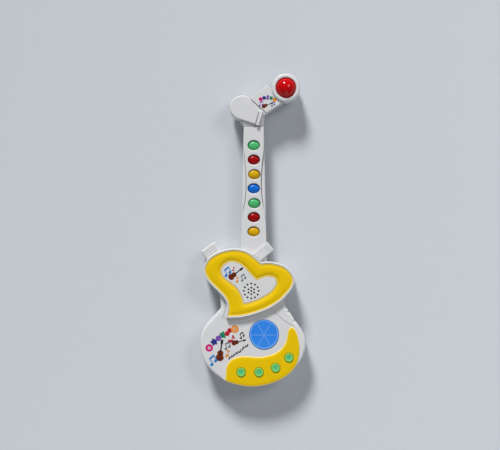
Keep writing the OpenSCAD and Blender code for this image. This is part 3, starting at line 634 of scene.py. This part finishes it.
def ribs(bm, end, angle, width, top, backs, height=0.5, thick=1.1):
    """Low rounded ribs across a lug, each set back from its end."""
    for back in backs:
        a = math.radians(angle)
        mid = Vector(end) - Vector((math.cos(a), math.sin(a))) * back
        rib = bmesh.ops.create_cube(bm, size=1)["verts"]
        bmesh.ops.scale(bm, verts=rib, vec=(thick * MM, width * MM, height * 2 * MM))
        edges = list({e for v in rib for e in v.link_edges})
        made = bmesh.ops.bevel(bm, geom=edges, offset=0.35 * MM, segments=2, profile=0.5,
                               affect="EDGES", material=-1)
        verts = list({v for f in made["faces"] for v in f.verts})
        bmesh.ops.rotate(bm, verts=verts, matrix=Matrix.Rotation(a, 3, "Z"))
        bmesh.ops.translate(bm, verts=verts, vec=(mid.x * MM, mid.y * MM, top * MM))


ribs(bm, LEFT_END, LEFT_ANGLE, 15, LUG_TOP, (3.2, 6.0, 8.8))
ribs(bm, on_body(23, 53), RIGHT_ANGLE, 8.6, PLATE_TOP, (2.4, 5.0))
piece(bm, "body_front", finish["white_abs"], BODY, ["front_shell"])

# %% [markdown]
# ## Back shell of the body
# The back is a tray with a large rounding all round, screw wells, a recess for the slide switch and the
# opening of the battery compartment. Each screw well is one circle led along a profile: in from the back,
# across the screw's seat, up its narrow bore, over the boss's top and down to the tray's floor.

# %% The tray
back_outline, *back_holes = section("back_shell", 1)
back_loop = eased_waist(without_notches(back_outline))
wells = [l for l in back_holes if len(l) > 6 and max(extent(l)) < 7]
boxes = [l for l in back_holes if l not in wells]
FLOOR = WALL
bm = bmesh.new()
skirt(bm, back_loop, under(2.9, 0, 6) + back_wall(WALL, FLOOR, JOINT, SEAM))
for well in wells:
    x, y = np.mean(well, axis=0)
    # The hole that the door's screw goes into is hidden under the door, so it is left closed
    if abs(x) < 2 and y < -60:
        continue
    foot = y > 50 and abs(x) < 20
    screw_well(bm, x, y, 0, *((5.5, 7.8) if foot else (JOINT - 4, JOINT)), FLOOR)
door_hole = next(l for l in boxes if extent(l)[1] > 40)
switch_hole = next(l for l in boxes if extent(l)[1] < 20)
pocket_loop = next(l for l in section("back_shell", 8) if area(l) < 0 and 35 < extent(l)[0] < 52)
# The battery compartment: a ledge for the door, the pocket inside it, and its 3 mm wall in the tray
LEDGE, POCKET_ROOF, POCKET_TOP = 2.15, 17.7, 19.2
skirt(bm, door_hole, [(0.25, 0), (0, 0.25), (0, LEDGE)])
skirt(bm, pocket_loop, [(0, LEDGE), (0, POCKET_ROOF)])
skirt(bm, pocket_loop, [(3, FLOOR), (3, POCKET_TOP)])
cap(bm, LEDGE, POCKET_ROOF, POCKET_TOP)
# The switch's recess, and the slot in its floor for the knob's stem
RECESS, RECESS_TOP = 2.4, level("switch_body", 0)
slots = [l for l in section("back_shell", RECESS + 1) if area(l) < 0]
stem_slot = next(l for l in slots if extent(l)[0] < 12 and extent(l)[1] < 5)
skirt(bm, switch_hole, [(0.5, 0), (0.15, 0.15), (0, 0.5), (0, RECESS)])
skirt(bm, stem_slot, [(0, RECESS), (0, RECESS_TOP)])
cap(bm, RECESS)
skirt(bm, switch_hole, [(2, RECESS_TOP), (2, FLOOR)])
cap(bm, RECESS_TOP, 0, FLOOR)
skirt(bm, left_lug, under(1.8, LUG_LOW) + [(0, JOINT - SEAM), (SEAM, JOINT)])
cap(bm, LUG_LOW, JOINT)
piece(bm, "body_back", finish["white_abs"], BODY, ["back_shell"])

# %% [markdown]
# ## Battery door and switch
# The door is a plate with softened edges. Five finger grooves and a small arrow show which way it comes
# off, and its screw lies in a well so that a child can't undo it. The switch's knob has three grip ridges.

# %% Door
door_low, door_high = level("battery_door", 0), level("battery_door", 1)
door_loop = section("battery_door", door_low + 0.7)[0]
screw_x, screw_y, _ = middle("door_screw")
door_x, door_y, _ = middle("battery_door")
SEAT = door_low + 1.3
bm = bmesh.new()
skirt(bm, door_loop, under(0.45, door_low, 3) + [(0, door_high)])
skirt(bm, round_loop(screw_x, screw_y, 2.65, 32, hole=True),
      [(-0.25, door_low), (0, door_low + 0.25), (0, SEAT), (-1.25, SEAT), (-1.25, door_high)])
for k in range(5):
    half, y = 10 - 1.1 * k, door_y + 16 + 3 * k
    groove = [(door_x + u, y + v) for u, v in ((-half - 0.4, 0), (-half, 0.6), (half, 0.6),
                                               (half + 0.4, 0), (half, -0.6), (-half, -0.6))]
    skirt(bm, groove, [(-0.2, door_low), (0, door_low + 0.2), (0.1, door_low + 0.6)])
arrow = [(door_x + u, door_y + v) for u, v in ((0, 13.2), (4.0, 9.5), (-4.0, 9.5))]
skirt(bm, arrow, [(-0.15, door_low), (0, door_low + 0.15), (0, door_low + 0.6)])
cap(bm, door_low, door_low + 0.6, door_high)
piece(bm, "battery_lid", finish["white_abs"], "battery_door", ["battery_door"])

# %% Knob
knob_x, knob_y, _ = middle("switch_knob")
knob_w, knob_l, _ = span("switch_knob")
knob_low, knob_high = level("switch_knob", 0), level("switch_knob", 1)
cuts = ((h, section("switch_knob", h)[0]) for h in np.arange(3.2, 0.8, -0.05))
slab_top = next(h for h, loop in cuts if extent(loop)[1] > 5)
bm = bmesh.new()
skirt(bm, rectangle(knob_x, knob_y, knob_w, knob_l), under(0.35, knob_low + 0.35, 3) + [(0, slab_top)])
skirt(bm, rectangle(knob_x, knob_y, 3.6, 2.4), [(0, slab_top), (0, knob_high)])
for k in (-1, 0, 1):
    ridge = rectangle(knob_x + 1.3 * k, knob_y, 0.7, knob_l - 1.6)
    skirt(bm, ridge, [(0.15, knob_low), (0, knob_low + 0.2), (0, knob_low + 0.35)])
cap(bm, knob_low, knob_low + 0.35, slab_top, knob_high)
piece(bm, "slide_knob", finish["black_abs"], "switch_knob", ["switch_knob"])

# %% [markdown]
# ## Heart
# The heart is a white moulding with a rim that stands up all round, a lower channel that holds the yellow
# band, and a raised island with the speaker grille. Rim and island are rounded over, so that they read as
# soft edges. The nineteen holes of the grille go right through to the speaker behind it.

# %% Heart panel
PLATEAU, CHANNEL, CAVITY = RIM - 1.5, level("heart_trim", 0), RIM - 3.5
THIN = RIM - 2.3  # underside of the grille, where the wall is thinned for the sound
rim_outer, rim_inner, island, *grille = section("heart_panel", RIM - 2.5)
cavity = section("heart_panel", FACE + 1)[1]
bm = bmesh.new()
skirt(bm, rim_outer, [(0, FACE)] + rounding(1.0, RIM, 5))
skirt(bm, rim_inner, [(0, CHANNEL)] + rounding(0.8, RIM, 4))
skirt(bm, island, [(0, CHANNEL)] + rounding(0.9, PLATEAU, 4))
for hole in grille:
    x, y = np.mean(hole, axis=0)
    skirt(bm, round_loop(x, y, 1.15, 20, hole=True), [(0, THIN)] + rounding(0.12, PLATEAU, 2))
skirt(bm, cavity, [(0, FACE), (0, CAVITY)])
grille_x, grille_y = np.mean([np.mean(hole, axis=0) for hole in grille], axis=0)
skirt(bm, round_loop(grille_x, grille_y, 10.6, 48, hole=True), [(0, CAVITY), (0, THIN)])
cap(bm, FACE, CHANNEL, CAVITY, THIN, PLATEAU, RIM)
piece(bm, "heart_moulding", finish["white_abs"], BODY, ["heart_panel"])

# %% Yellow band
BAND, BAND_LOW = RIM - 0.1, CHANNEL + 0.02
# Paler yellow for the thin edges of the band and the panel: a painted highlight
yellow_painted_edge_highlight = moulded("yellow_abs_painted_edge_highlight", "#F4DC7C", "#F0D670", 0.4)
outer_edge = [(0, BAND_LOW), (0, 35.2), (0.12, 35.42), (0.4, 35.5), (0.8, 35.42), (1.0, 35.2)]
outer_crown = [(1.5, 35.1), (2.2, 35.2), (3.2, 35.45), (4.4, 35.7), (5.6, BAND)]
inner_edge = [(0, BAND_LOW), (0, 34.45), (0.12, 34.66), (0.4, 34.74), (0.8, 34.66), (1.0, 34.5)]
inner_crown = [(1.5, 34.55), (2.3, 34.9), (3.3, 35.3), (4.4, 35.65), (5.6, BAND)]
bm = bmesh.new()
band_outer, band_inner = section("heart_trim", 34)
skirt(bm, band_outer, outer_edge + outer_crown)
skirt(bm, band_inner, inner_edge + inner_crown)
cap(bm, BAND_LOW, BAND)
# The edge faces of the band take the paler yellow: a painted highlight
for f in bm.faces:
    spot = f.calc_center_median() / MM
    reach = min(distance([(spot.x, spot.y)], loop)[0] for loop in (band_outer, band_inner))
    f.material_index = int(spot.z > 34.4 and reach < 0.92)
piece(bm, "heart_band", [finish["yellow_abs"], yellow_painted_edge_highlight], BODY, ["heart_trim"])

# %% [markdown]
# ## Button panel and buttons
# The crescent panel is a thin yellow plate with a softly crowned face. Each round button has a shallow
# dish for a fingertip, and its rim is painted a lighter green: painted light, for light through the thin
# plastic.

# %% Crescent panel
PANEL_EDGE, PANEL = FACE + 1, FACE + 1.5
bm = bmesh.new()
for loop in section("crescent_panel", FACE + 0.6):
    if area(loop) > 0:
        crown = [(1.2, PANEL - 0.38), (2.0, PANEL - 0.2), (3.2, PANEL - 0.05), (4.6, PANEL)]
        skirt(bm, loop, [(0, FACE)] + rounding(0.8, PANEL_EDGE, 4) + crown)
    else:
        skirt(bm, loop, [(0, FACE)] + rounding(0.35, PANEL - 0.15, 3) + [(0.9, PANEL)])
cap(bm, FACE, PANEL)
# The panel's rounded edge takes the paler yellow: a painted highlight
for f in bm.faces:
    f.material_index = int(FACE + 0.5 < f.calc_center_median().z / MM < PANEL_EDGE + 0.05)
piece(bm, "button_panel", [finish["yellow_abs"], yellow_painted_edge_highlight], BODY, ["crescent_panel"])


# %% What keys and buttons share
FLANGE = 1.3


def pressed(bm, node, squeeze, stem, face):
    """A key or a button: a round stem, the flange that keeps it in, and the face that fills its hole."""
    x, y, _ = middle(node)
    foot = level(node, 0) + stem
    rim = [(0, foot), (0, foot + 1), (FLANGE, foot + 1)]
    skirt(bm, round_loop(x, y, span(node).x / 2, 48, squeeze), rim + face)
    skirt(bm, round_loop(x, y, 2.5, 24), [(0, level(node, 0)), (0, foot)])
    cap(bm, level(node, 0), foot, face[-1][1])


# %% Buttons
rim_green_painted_light = moulded("green_abs_button_rim", "#84CE62", "#78C258", 0.26, depth=0.006)
for i in range(1, 5):
    node = f"button_{i}"
    x, y, _ = middle(node)
    top = level(node, 1)
    dish = [(2.5, top), (3.1, top - 0.15), (3.8, top - 0.4), (4.7, top - 0.58)]
    bm = bmesh.new()
    pressed(bm, node, 1, 1.1, rounding(0.8, top, 5, FLANGE) + dish)
    # The rim faces take the lighter green: painted light, as if light came through the thin plastic
    bright = span(node).x / 2 - FLANGE - 1.9
    for f in bm.faces:
        f.material_index = int(max(math.hypot(v.co.x / MM - x, v.co.y / MM - y) for v in f.verts) > bright)
    piece(bm, f"round_{node}", [finish["button_green"], rim_green_painted_light], node, [node])

# %% [markdown]
# ## Blue light
# The round light is a thin tinted lens that fills its hole. Three straight ribs cross near its middle and
# cut it into six slices. The ribs and a ring near the lens's edge are painted a paler blue, as painted
# highlights.

# %% Lens
lens_x, lens_y, _ = middle("disc_lens")
lens_low, top = level("disc_lens", 0), level("disc_lens", 1)
LENS_FLANGE = 1.5
lens_rim = [(0, lens_low), (0, lens_low + LENS_FLANGE), (LENS_FLANGE, lens_low + LENS_FLANGE)]
radius = span("disc_lens").x / 2 - LENS_FLANGE
bm = bmesh.new()
skirt(bm, round_loop(lens_x, lens_y, radius + LENS_FLANGE, 96),
      lens_rim + rounding(0.5, top, 3, LENS_FLANGE) + [(2.3, top), (2.9, top), (3.1, top - 0.25)])
cap(bm, lens_low, top - 0.25)
# Paler blue for the ribs and a ring near the edge: a painted highlight
blue_painted_highlight = moulded("blue_polystyrene_painted_highlight", "#86BBF6", "#7CB3F0", 0.2, depth=0.004)
# A ring near the lens's edge takes the paler blue: a painted highlight
for f in bm.faces:
    spot = f.calc_center_median() / MM
    reach = math.hypot(spot.x - lens_x, spot.y - lens_y)
    f.material_index = int(spot.z > top - 0.2 and radius - 1.7 < reach < radius - 0.75)
piece(bm, "light_lens", [finish["blue_lens"], blue_painted_highlight], BODY, ["disc_lens"])
# The ribs take the paler blue all over: a painted highlight
bm = bmesh.new()
for angle in (0, 60, 120):
    rib = bmesh.ops.create_cube(bm, size=1)["verts"]
    bmesh.ops.scale(bm, verts=rib, vec=((2 * radius - 3.4) * MM, 0.5 * MM, 0.3 * MM))
    bmesh.ops.rotate(bm, verts=rib, matrix=Matrix.Rotation(math.radians(angle), 3, "Z"))
    bmesh.ops.translate(bm, verts=rib, vec=(lens_x * MM, (lens_y - 0.6) * MM, (top - 0.22) * MM))
piece(bm, "light_lens_ribs", blue_painted_highlight, BODY)

# %% [markdown]
# ## Neck
# The neck's front has a lower deck at its edges and a raised fingerboard that narrows in the middle. Each
# key sits in an oval hole with a softened rim. The back is rounded like a real neck.

# %% Neck front
NECK_BOTTOM, NECK_JOINT, NECK_FACE = level("neck_back", 0), level("neck_front", 0), level("neck_front", 1)
NECK_LOW, NECK_WALL, NECK_SEAM = NECK_FACE - 2.5, 1.8, 0.3
NECK_CEILING, NECK_FLOOR = NECK_LOW - NECK_WALL, NECK_BOTTOM + NECK_WALL
neck_loop = max(section("neck_front", NECK_LOW - 3), key=area)
deck, *key_holes = section("neck_front", NECK_FACE - 1)
bm = bmesh.new()
neck_wall = front_wall(NECK_WALL, NECK_CEILING, NECK_JOINT, NECK_SEAM)
skirt(bm, neck_loop, neck_wall + rounding(0.9, NECK_LOW - 0.5, 4))
# A groove runs along the deck, and it closes where the deck reaches the neck's edge
groove = np.clip((distance(deck, neck_loop) - 0.9) / 1.4, 0, 1)
groove_floor = NECK_LOW - 1.5 * groove - 0.1
skirt(bm, deck, [(-1.1 * groove, NECK_LOW), (-0.95 * groove, NECK_LOW - 0.2), (-0.95 * groove, groove_floor),
                 (0, groove_floor)] + rounding(0.4, NECK_FACE, 4))
quarter = [math.pi / 8 * k for k in range(5)]
for hole in key_holes:
    x, y = np.mean(hole, axis=0)
    w, l = extent(hole)
    oval = round_loop(x, y, w / 2, 48, l / w, hole=True)
    # The rim is wider and deeper towards the oval's ends
    ends = np.array([abs(v - y) / (l / 2) for _, v in oval]) ** 2
    rim = [((0.38 + 1.3 * ends) * (1 - math.cos(t)), NECK_FACE - (0.38 + 0.62 * ends) * (1 - math.sin(t)))
           for t in quarter]
    skirt(bm, oval, [(0, NECK_CEILING)] + rim)
cap(bm, NECK_FACE, NECK_CEILING)
slope = [e for e in bm.edges if len(e.link_faces) == 1]
bmesh.ops.triangle_fill(bm, use_beauty=True, use_dissolve=False, edges=slope, normal=(0, 0, 1))
piece(bm, "neck_fingerboard", finish["white_abs"], BODY, ["neck_front"])


# %% Neck back
def back_half(name, node, radius, seat, top):
    """The back shell of the neck or of the head, with its screw wells."""
    loop, *holes = section(node, NECK_BOTTOM + 1)
    bm = bmesh.new()
    wall = back_wall(NECK_WALL, NECK_FLOOR, NECK_JOINT, NECK_SEAM)
    skirt(bm, loop, under(radius, NECK_BOTTOM, 6) + wall)
    for hole in holes:
        if extent(hole)[0] > 4:
            screw_well(bm, *np.mean(hole, axis=0), NECK_BOTTOM, seat, top, NECK_FLOOR)
    cap(bm, NECK_BOTTOM, NECK_FLOOR)
    piece(bm, name, finish["white_abs"], BODY, [node])


back_half("neck_spine", "neck_back", 3.4, NECK_JOINT - 4, NECK_JOINT)

# %% Keys
for i, colour in enumerate(("green", "red", "yellow", "blue", "green", "red", "yellow"), 1):
    node = f"key_{i}"
    top = level(node, 1)
    crown = [(2.0, top - 1.75), (2.6, top - 1.25), (3.3, top - 0.75), (4.2, top - 0.34), (5.1, top - 0.12)]
    bm = bmesh.new()
    pressed(bm, node, span(node).y / span(node).x, 0.9, rounding(0.5, top - 2.2, 3, FLANGE) + crown)
    piece(bm, f"oval_{node}", finish[f"key_{colour}"], node, [node])

# %% [markdown]
# ## Head
# The head is two shells. On its front, a paddle lies at the neck's end with a raised cuff beside it, and an
# arm leads to a thick ring that holds the dome. They are made as layers, each with its own rounding.

# %% Head shells
CUFF = level("head_front", 1)
HEAD_FACE, ARM, PADDLE, RING = CUFF - 4.7, CUFF - 3.1, CUFF - 1.2, CUFF - 0.2
HEAD_CEILING = HEAD_FACE - NECK_WALL
dome_x, dome_y, _ = middle("dome_lens")
DOME_FLANGE = 1.7
dome_r = span("dome_lens").x / 2 - DOME_FLANGE
bm = bmesh.new()
head_loop = section("head_front", HEAD_FACE - 1)[0]
skirt(bm, head_loop, front_wall(NECK_WALL, HEAD_CEILING, NECK_JOINT, NECK_SEAM) + rounding(1.6, HEAD_FACE, 5))
skirt(bm, round_loop(dome_x, dome_y, dome_r + 0.2, 64, hole=True), [(0, HEAD_CEILING), (0, HEAD_FACE)])
cap(bm, HEAD_FACE, HEAD_CEILING)
# Each layer: the height of its cut, the layer under it, its top and its rounding
for height, below, top, soft in ((ARM - 0.6, HEAD_FACE, ARM, 0.7), (PADDLE - 0.5, ARM, PADDLE, 1.4),
                                 (CUFF - 0.7, PADDLE, CUFF, 0.6)):
    for loop in section("head_front", height):
        x, y = np.mean(loop, axis=0)
        around = math.hypot(x - dome_x, y - dome_y) < 3
        # The ring round the dome is made on its own, below
        if area(loop) < 0 or (around and height > ARM):
            continue
        layer = bmesh.new()
        skirt(layer, loop, [(0, below - 0.5)] + rounding(soft, top, 5))
        if inside((dome_x, dome_y), loop):
            hole = round_loop(dome_x, dome_y, dome_r + 2.0, 64, hole=True)
            skirt(layer, hole, [(0, below - 0.5), (0, top)])
        cap(layer, below - 0.5, top)
        join(bm, layer)
# The ring round the dome, with a full rounding outside and a softer lip inside
ring_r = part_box("head_front")[1].x / MM - dome_x - 0.3
skirt(bm, round_loop(dome_x, dome_y, ring_r, 96), [(0, HEAD_FACE - 0.6)] + rounding(2.2, RING, 7))
skirt(bm, round_loop(dome_x, dome_y, dome_r + 0.2, 96, hole=True),
      [(0, HEAD_FACE - 0.6)] + rounding(0.9, RING, 4))
cap(bm, HEAD_FACE - 0.6, RING)
piece(bm, "head_front_shell", finish["white_abs"], BODY, ["head_front"])

# %% Head back
back_half("head_back_shell", "head_back", 2.6, NECK_BOTTOM + 2.5, NECK_BOTTOM + 4)

# %% Dome
dome_low, dome_top = level("dome_lens", 0), level("dome_lens", 1)
flange_top = dome_low + 1.3
rise = dome_top - flange_top
ball = (dome_r ** 2 + rise ** 2) / (2 * rise)
full = math.asin(dome_r / ball)
turns = [full * (1 - i / 14) for i in range(14)]
dome_arc = [(dome_r + DOME_FLANGE - ball * math.sin(t), dome_top - ball + ball * math.cos(t)) for t in turns]
bm = bmesh.new()
skirt(bm, round_loop(dome_x, dome_y, dome_r + DOME_FLANGE, 64), [(0, dome_low), (0, flange_top)] + dome_arc)
pole = bm.verts.new((dome_x * MM, dome_y * MM, dome_top * MM))
for e in [e for e in bm.edges if len(e.link_faces) == 1 and e.verts[0].co.z / MM > flange_top + 1]:
    bm.faces.new((e.verts[0], e.verts[1], pole))
cap(bm, dome_low)
piece(bm, "dome", finish["red_lens"], BODY, ["dome_lens"])

# %% [markdown]
# ## Black felt behind the grille
# Behind the grille lies a round of black felt. It is painted shade: a dark sheet that stands for the shade
# inside the holes, so that they read as black dots.

# %% Black felt behind the grille, as painted shade
# A black sheet that paints the shade inside the grille's holes
shade_sheet = moulded("black_sheet_painted_shade", "#0C0C0D", "#141415", 0.95, grain=0.3, depth=0.05, sheen=0.1)
bm = bmesh.new()
skirt(bm, round_loop(grille_x, grille_y, 10.4, 48), [(0, THIN - 0.6), (0, THIN - 0.02)])
cap(bm, THIN - 0.6, THIN - 0.02)
piece(bm, "grille_shade_sheet", shade_sheet, BODY)

# %% [markdown]
# ## Prints
# Small coloured pictures are pad-printed on the shells: notes, little guitars and an arc of plain bold
# shapes. A pad print is a film of ink a few hundredths of a millimetre thick. Each shape is a thin slab
# that is sunk in the plastic and stands about 0.05 mm proud, so it catches the light like ink.

# %% Inks
INKS = ["#C81E78", "#27347E", "#7A4FA8", "#1F7F5C", "#B51F2E", "#E08A2C", "#6E2C12", "#1C1A1E", "#1F77C4",
        "#5E6E6E", "#D98E3A"]
MAGENTA, NAVY, PURPLE, GREEN, RED, ORANGE, BROWN, BLACK, BLUE, GREY, AMBER = range(11)
BARE = len(INKS)  # the shell's own white, as a last ink
inks = [moulded(f"pad_print_ink_{i}", code, code, 0.45, grain=0.4, depth=0.006, sheen=0.14)
        for i, code in enumerate(INKS)] + [finish["white_abs"]]
print("inks", len(inks))


# %% Shapes to print
def turned(loop, x, y, angle=0, size=1):
    """A shape of about unit size, scaled in mm, turned and put in its place."""
    a = math.radians(angle)
    c, s = math.cos(a) * size, math.sin(a) * size
    return [(x + u * c - v * s, y + u * s + v * c) for u, v in loop]


def bar(x0, y0, x1, y1, thick):
    """A straight stroke as a loop."""
    along = Vector((x1 - x0, y1 - y0)).normalized() * thick / 2
    side = Vector((-along.y, along.x))
    a, b = Vector((x0, y0)) - along * 0.4, Vector((x1, y1)) + along * 0.4
    return [tuple(a - side), tuple(b - side), tuple(b + side), tuple(a + side)]


def star(points=5, inner=0.45):
    """A star with a radius of one."""
    turns = [math.pi * i / points + math.pi / 2 for i in range(2 * points)]
    radii = [inner if i % 2 else 1 for i in range(2 * points)]
    return [(math.cos(t) * r, math.sin(t) * r) for t, r in zip(turns, radii)]


def blob(rx, ry, x=0, y=0, tilt=0, count=20):
    """A filled oval."""
    turns = [2 * math.pi * i / count for i in range(count)]
    return turned([(rx * math.cos(t), ry * math.sin(t)) for t in turns], x, y, tilt)


# Each picture is a list of loops about one unit high
NOTE = [blob(0.27, 0.2, -0.12, -0.34, 20), bar(0.12, -0.32, 0.12, 0.46, 0.13),
        bar(0.12, 0.42, 0.4, 0.1, 0.17)]
PAIR = [blob(0.23, 0.18, -0.4, -0.38, 20), blob(0.23, 0.18, 0.26, -0.26, 20),
        bar(-0.22, -0.36, -0.22, 0.34, 0.11), bar(0.43, -0.24, 0.43, 0.46, 0.11),
        bar(-0.24, 0.32, 0.45, 0.44, 0.22)]
GUITAR_BODY = [blob(0.31, 0.28, 0, -0.42), blob(0.24, 0.22, 0, -0.08), blob(0.2, 0.3, 0, -0.25)]
GUITAR_NECK = [bar(0, 0.0, 0, 0.72, 0.1), bar(0, 0.66, 0, 0.92, 0.19), bar(-0.13, -0.5, 0.13, -0.5, 0.08)]
SOUND_HOLE = [blob(0.09, 0.09, 0, -0.2)]
FAT_STAR, RING_SHAPE = [star(5, 0.62)], [blob(1, 1, count=28)]
DROP = [blob(0.85, 0.85), turned([(-0.78, 0.3), (0.78, 0.3), (0, 1.25)], 0, 0)]
TWO_DOTS = [blob(0.66, 0.66, -0.34, -0.42), blob(0.66, 0.66, 0.34, 0.42)]


def stamp(bm, picture, top, ink, x, y, angle=0, size=1, proud=0.04):
    """Adds a picture to a print. Each loop is a slab sunk 0.1 mm, a little higher than the last one."""
    for i, loop in enumerate(picture):
        proud += 0.005
        loop = turned(loop, x, y, angle, size)
        loop = loop if area(loop) > 0 else loop[::-1]
        before = set(bm.faces)
        slab = bmesh.new()
        skirt(slab, loop, [(0, top - 0.1 - proud), (0, top + proud)])
        cap(slab, top - 0.1 - proud, top + proud)
        join(bm, slab)
        for f in set(bm.faces) - before:
            f.material_index = ink


def toy_guitar(dx, dy, angle, size):
    """The three stamps of a small printed guitar."""
    return [(GUITAR_BODY, BROWN, dx, dy, angle, size), (GUITAR_NECK, BLACK, dx, dy, angle, size, 0.06),
            (SOUND_HOLE, BLACK, dx, dy, angle, size, 0.075)]


def printed(name, top, node, stamps):
    """A surface's prints as one piece. Each stamp's place is in mm from the middle of a node."""
    x, y, _ = middle(node)
    bm = bmesh.new()
    for picture, ink, dx, dy, *rest in stamps:
        stamp(bm, picture, top, ink, x + dx, y + dy, *rest)
    piece(bm, name, inks, BODY)


# %% Print on the lower body
# An arc of six plain shapes: a disc, a star, a drop, a star, a pair of dots and a disc
body_stamps = [
    (RING_SHAPE, MAGENTA, -64.7, -15.8, 0, 4.5, 0.04), (FAT_STAR, NAVY, -59, -8.8, 20, 5.0, 0.055),
    (DROP, PURPLE, -53.9, -4.6, -30, 3.9, 0.07), (FAT_STAR, GREEN, -48.5, -0.6, 0, 5.0, 0.04),
    (TWO_DOTS, RED, -42.1, 2.8, 0, 4.4, 0.055), (RING_SHAPE, ORANGE, -34.5, 6.4, 0, 4.6, 0.07),
    (RING_SHAPE, BARE, -64.7, -15.8, 0, 1.7, 0.1), (RING_SHAPE, MAGENTA, -64.7, -15.8, 0, 0.8, 0.11),
    ([star(6, 0.6)], BARE, -34.5, 6.4, 10, 2.6, 0.1), ([star(6, 0.6)], AMBER, -34.5, 6.4, 10, 1.9, 0.11)]
body_stamps += toy_guitar(-51.4, -20.8, -8, 15.5) + toy_guitar(-31.3, -8.8, -76, 10.5)
body_stamps += [
    (PAIR, BLUE, -60.5, -30.4, 35, 9.5), (PAIR, GREY, -43.3, -13.2, 20, 7.4, 0.045),
    (NOTE, AMBER, -43.7, -22, 15, 8.5), (NOTE, RED, -38.7, -5, -10, 9.5),
    (PAIR, BLACK, -26.3, -1, 30, 6.2, 0.08)]
# A row of small dashes under the pictures, on a shallow slope
for i in range(17):
    t = i / 16
    dash = [bar(-0.5, -0.34, 0.45, 0.38 * (-1) ** i, 0.5)]
    dx, dy = -40.9 + 21.6 * t, -27.8 + 15.4 * t + 0.5 * math.sin(9 * t)
    body_stamps.append((dash, BLACK, dx, dy, 35, 1.9 if i % 3 else 2.7, 0.04 + 0.01 * (i % 3)))
printed("body_print", FACE, "disc_lens", body_stamps)

# %% Print on the heart's island and on the arm
printed("heart_print", PLATEAU, "speaker_frame", [
    (PAIR, BLUE, -28.2, 22.8, 30, 8.8), *toy_guitar(-19.4, 19.8, -52, 12.5),
    (NOTE, RED, -21.2, 26, 10, 4.8), (NOTE, AMBER, -17, 13.4, 25, 6.8),
    (PAIR, GREY, -9.6, 15.8, 30, 6.6)])
arm_stamps = []
for i, picture in enumerate((RING_SHAPE, FAT_STAR, TWO_DOTS, FAT_STAR, RING_SHAPE)):
    t = i / 4
    dx, dy = -29.6 + 16.4 * t, -13.4 + 2.4 * math.sin(math.pi * t) - 0.6 * t
    ink = (MAGENTA, NAVY, PURPLE, GREEN, ORANGE)[i]
    arm_stamps.append((picture, ink, dx, dy, 15 * i, 2.9 if i % 2 else 2.4, 0.04 + 0.02 * (i % 2)))
arm_stamps += [(PAIR, PURPLE, -29.2, -18.8, 10, 5.4), *toy_guitar(-22.8, -20.4, -70, 8.4)[:2],
               (PAIR, NAVY, -15.2, -19, 20, 4.8, 0.08)]
printed("arm_print", ARM, "dome_lens", arm_stamps)

# %% [markdown]
# ## Floor
# A plain pale sweep: flat under the toy, and curving up far away all round, so that no view meets a
# horizon. It stands a fifth of a millimetre under the toy.

# %% Floor
bm = bmesh.new()
SWEEP, GAP = 1000, 0.2
turns = [math.pi / 2 * i / 12 for i in range(13)]
sweep = [(-SWEEP * math.sin(t), -GAP + SWEEP * (1 - math.cos(t))) for t in turns]
skirt(bm, round_loop(0, 100, 1900, 96), sweep)
cap(bm, -GAP)
bmesh.ops.recalc_face_normals(bm, faces=bm.faces)
mesh = bpy.data.meshes.new("floor")
bm.to_mesh(mesh)
bm.free()
mesh.shade_smooth()
floor = bpy.data.objects.new("floor", mesh)
bpy.context.scene.collection.objects.link(floor)
paper, _, shader = new_material("floor_paper")
shader.inputs["Base Color"].default_value = linear("#CBD0D5")
shader.inputs["Roughness"].default_value = 0.9
mesh.materials.append(paper)
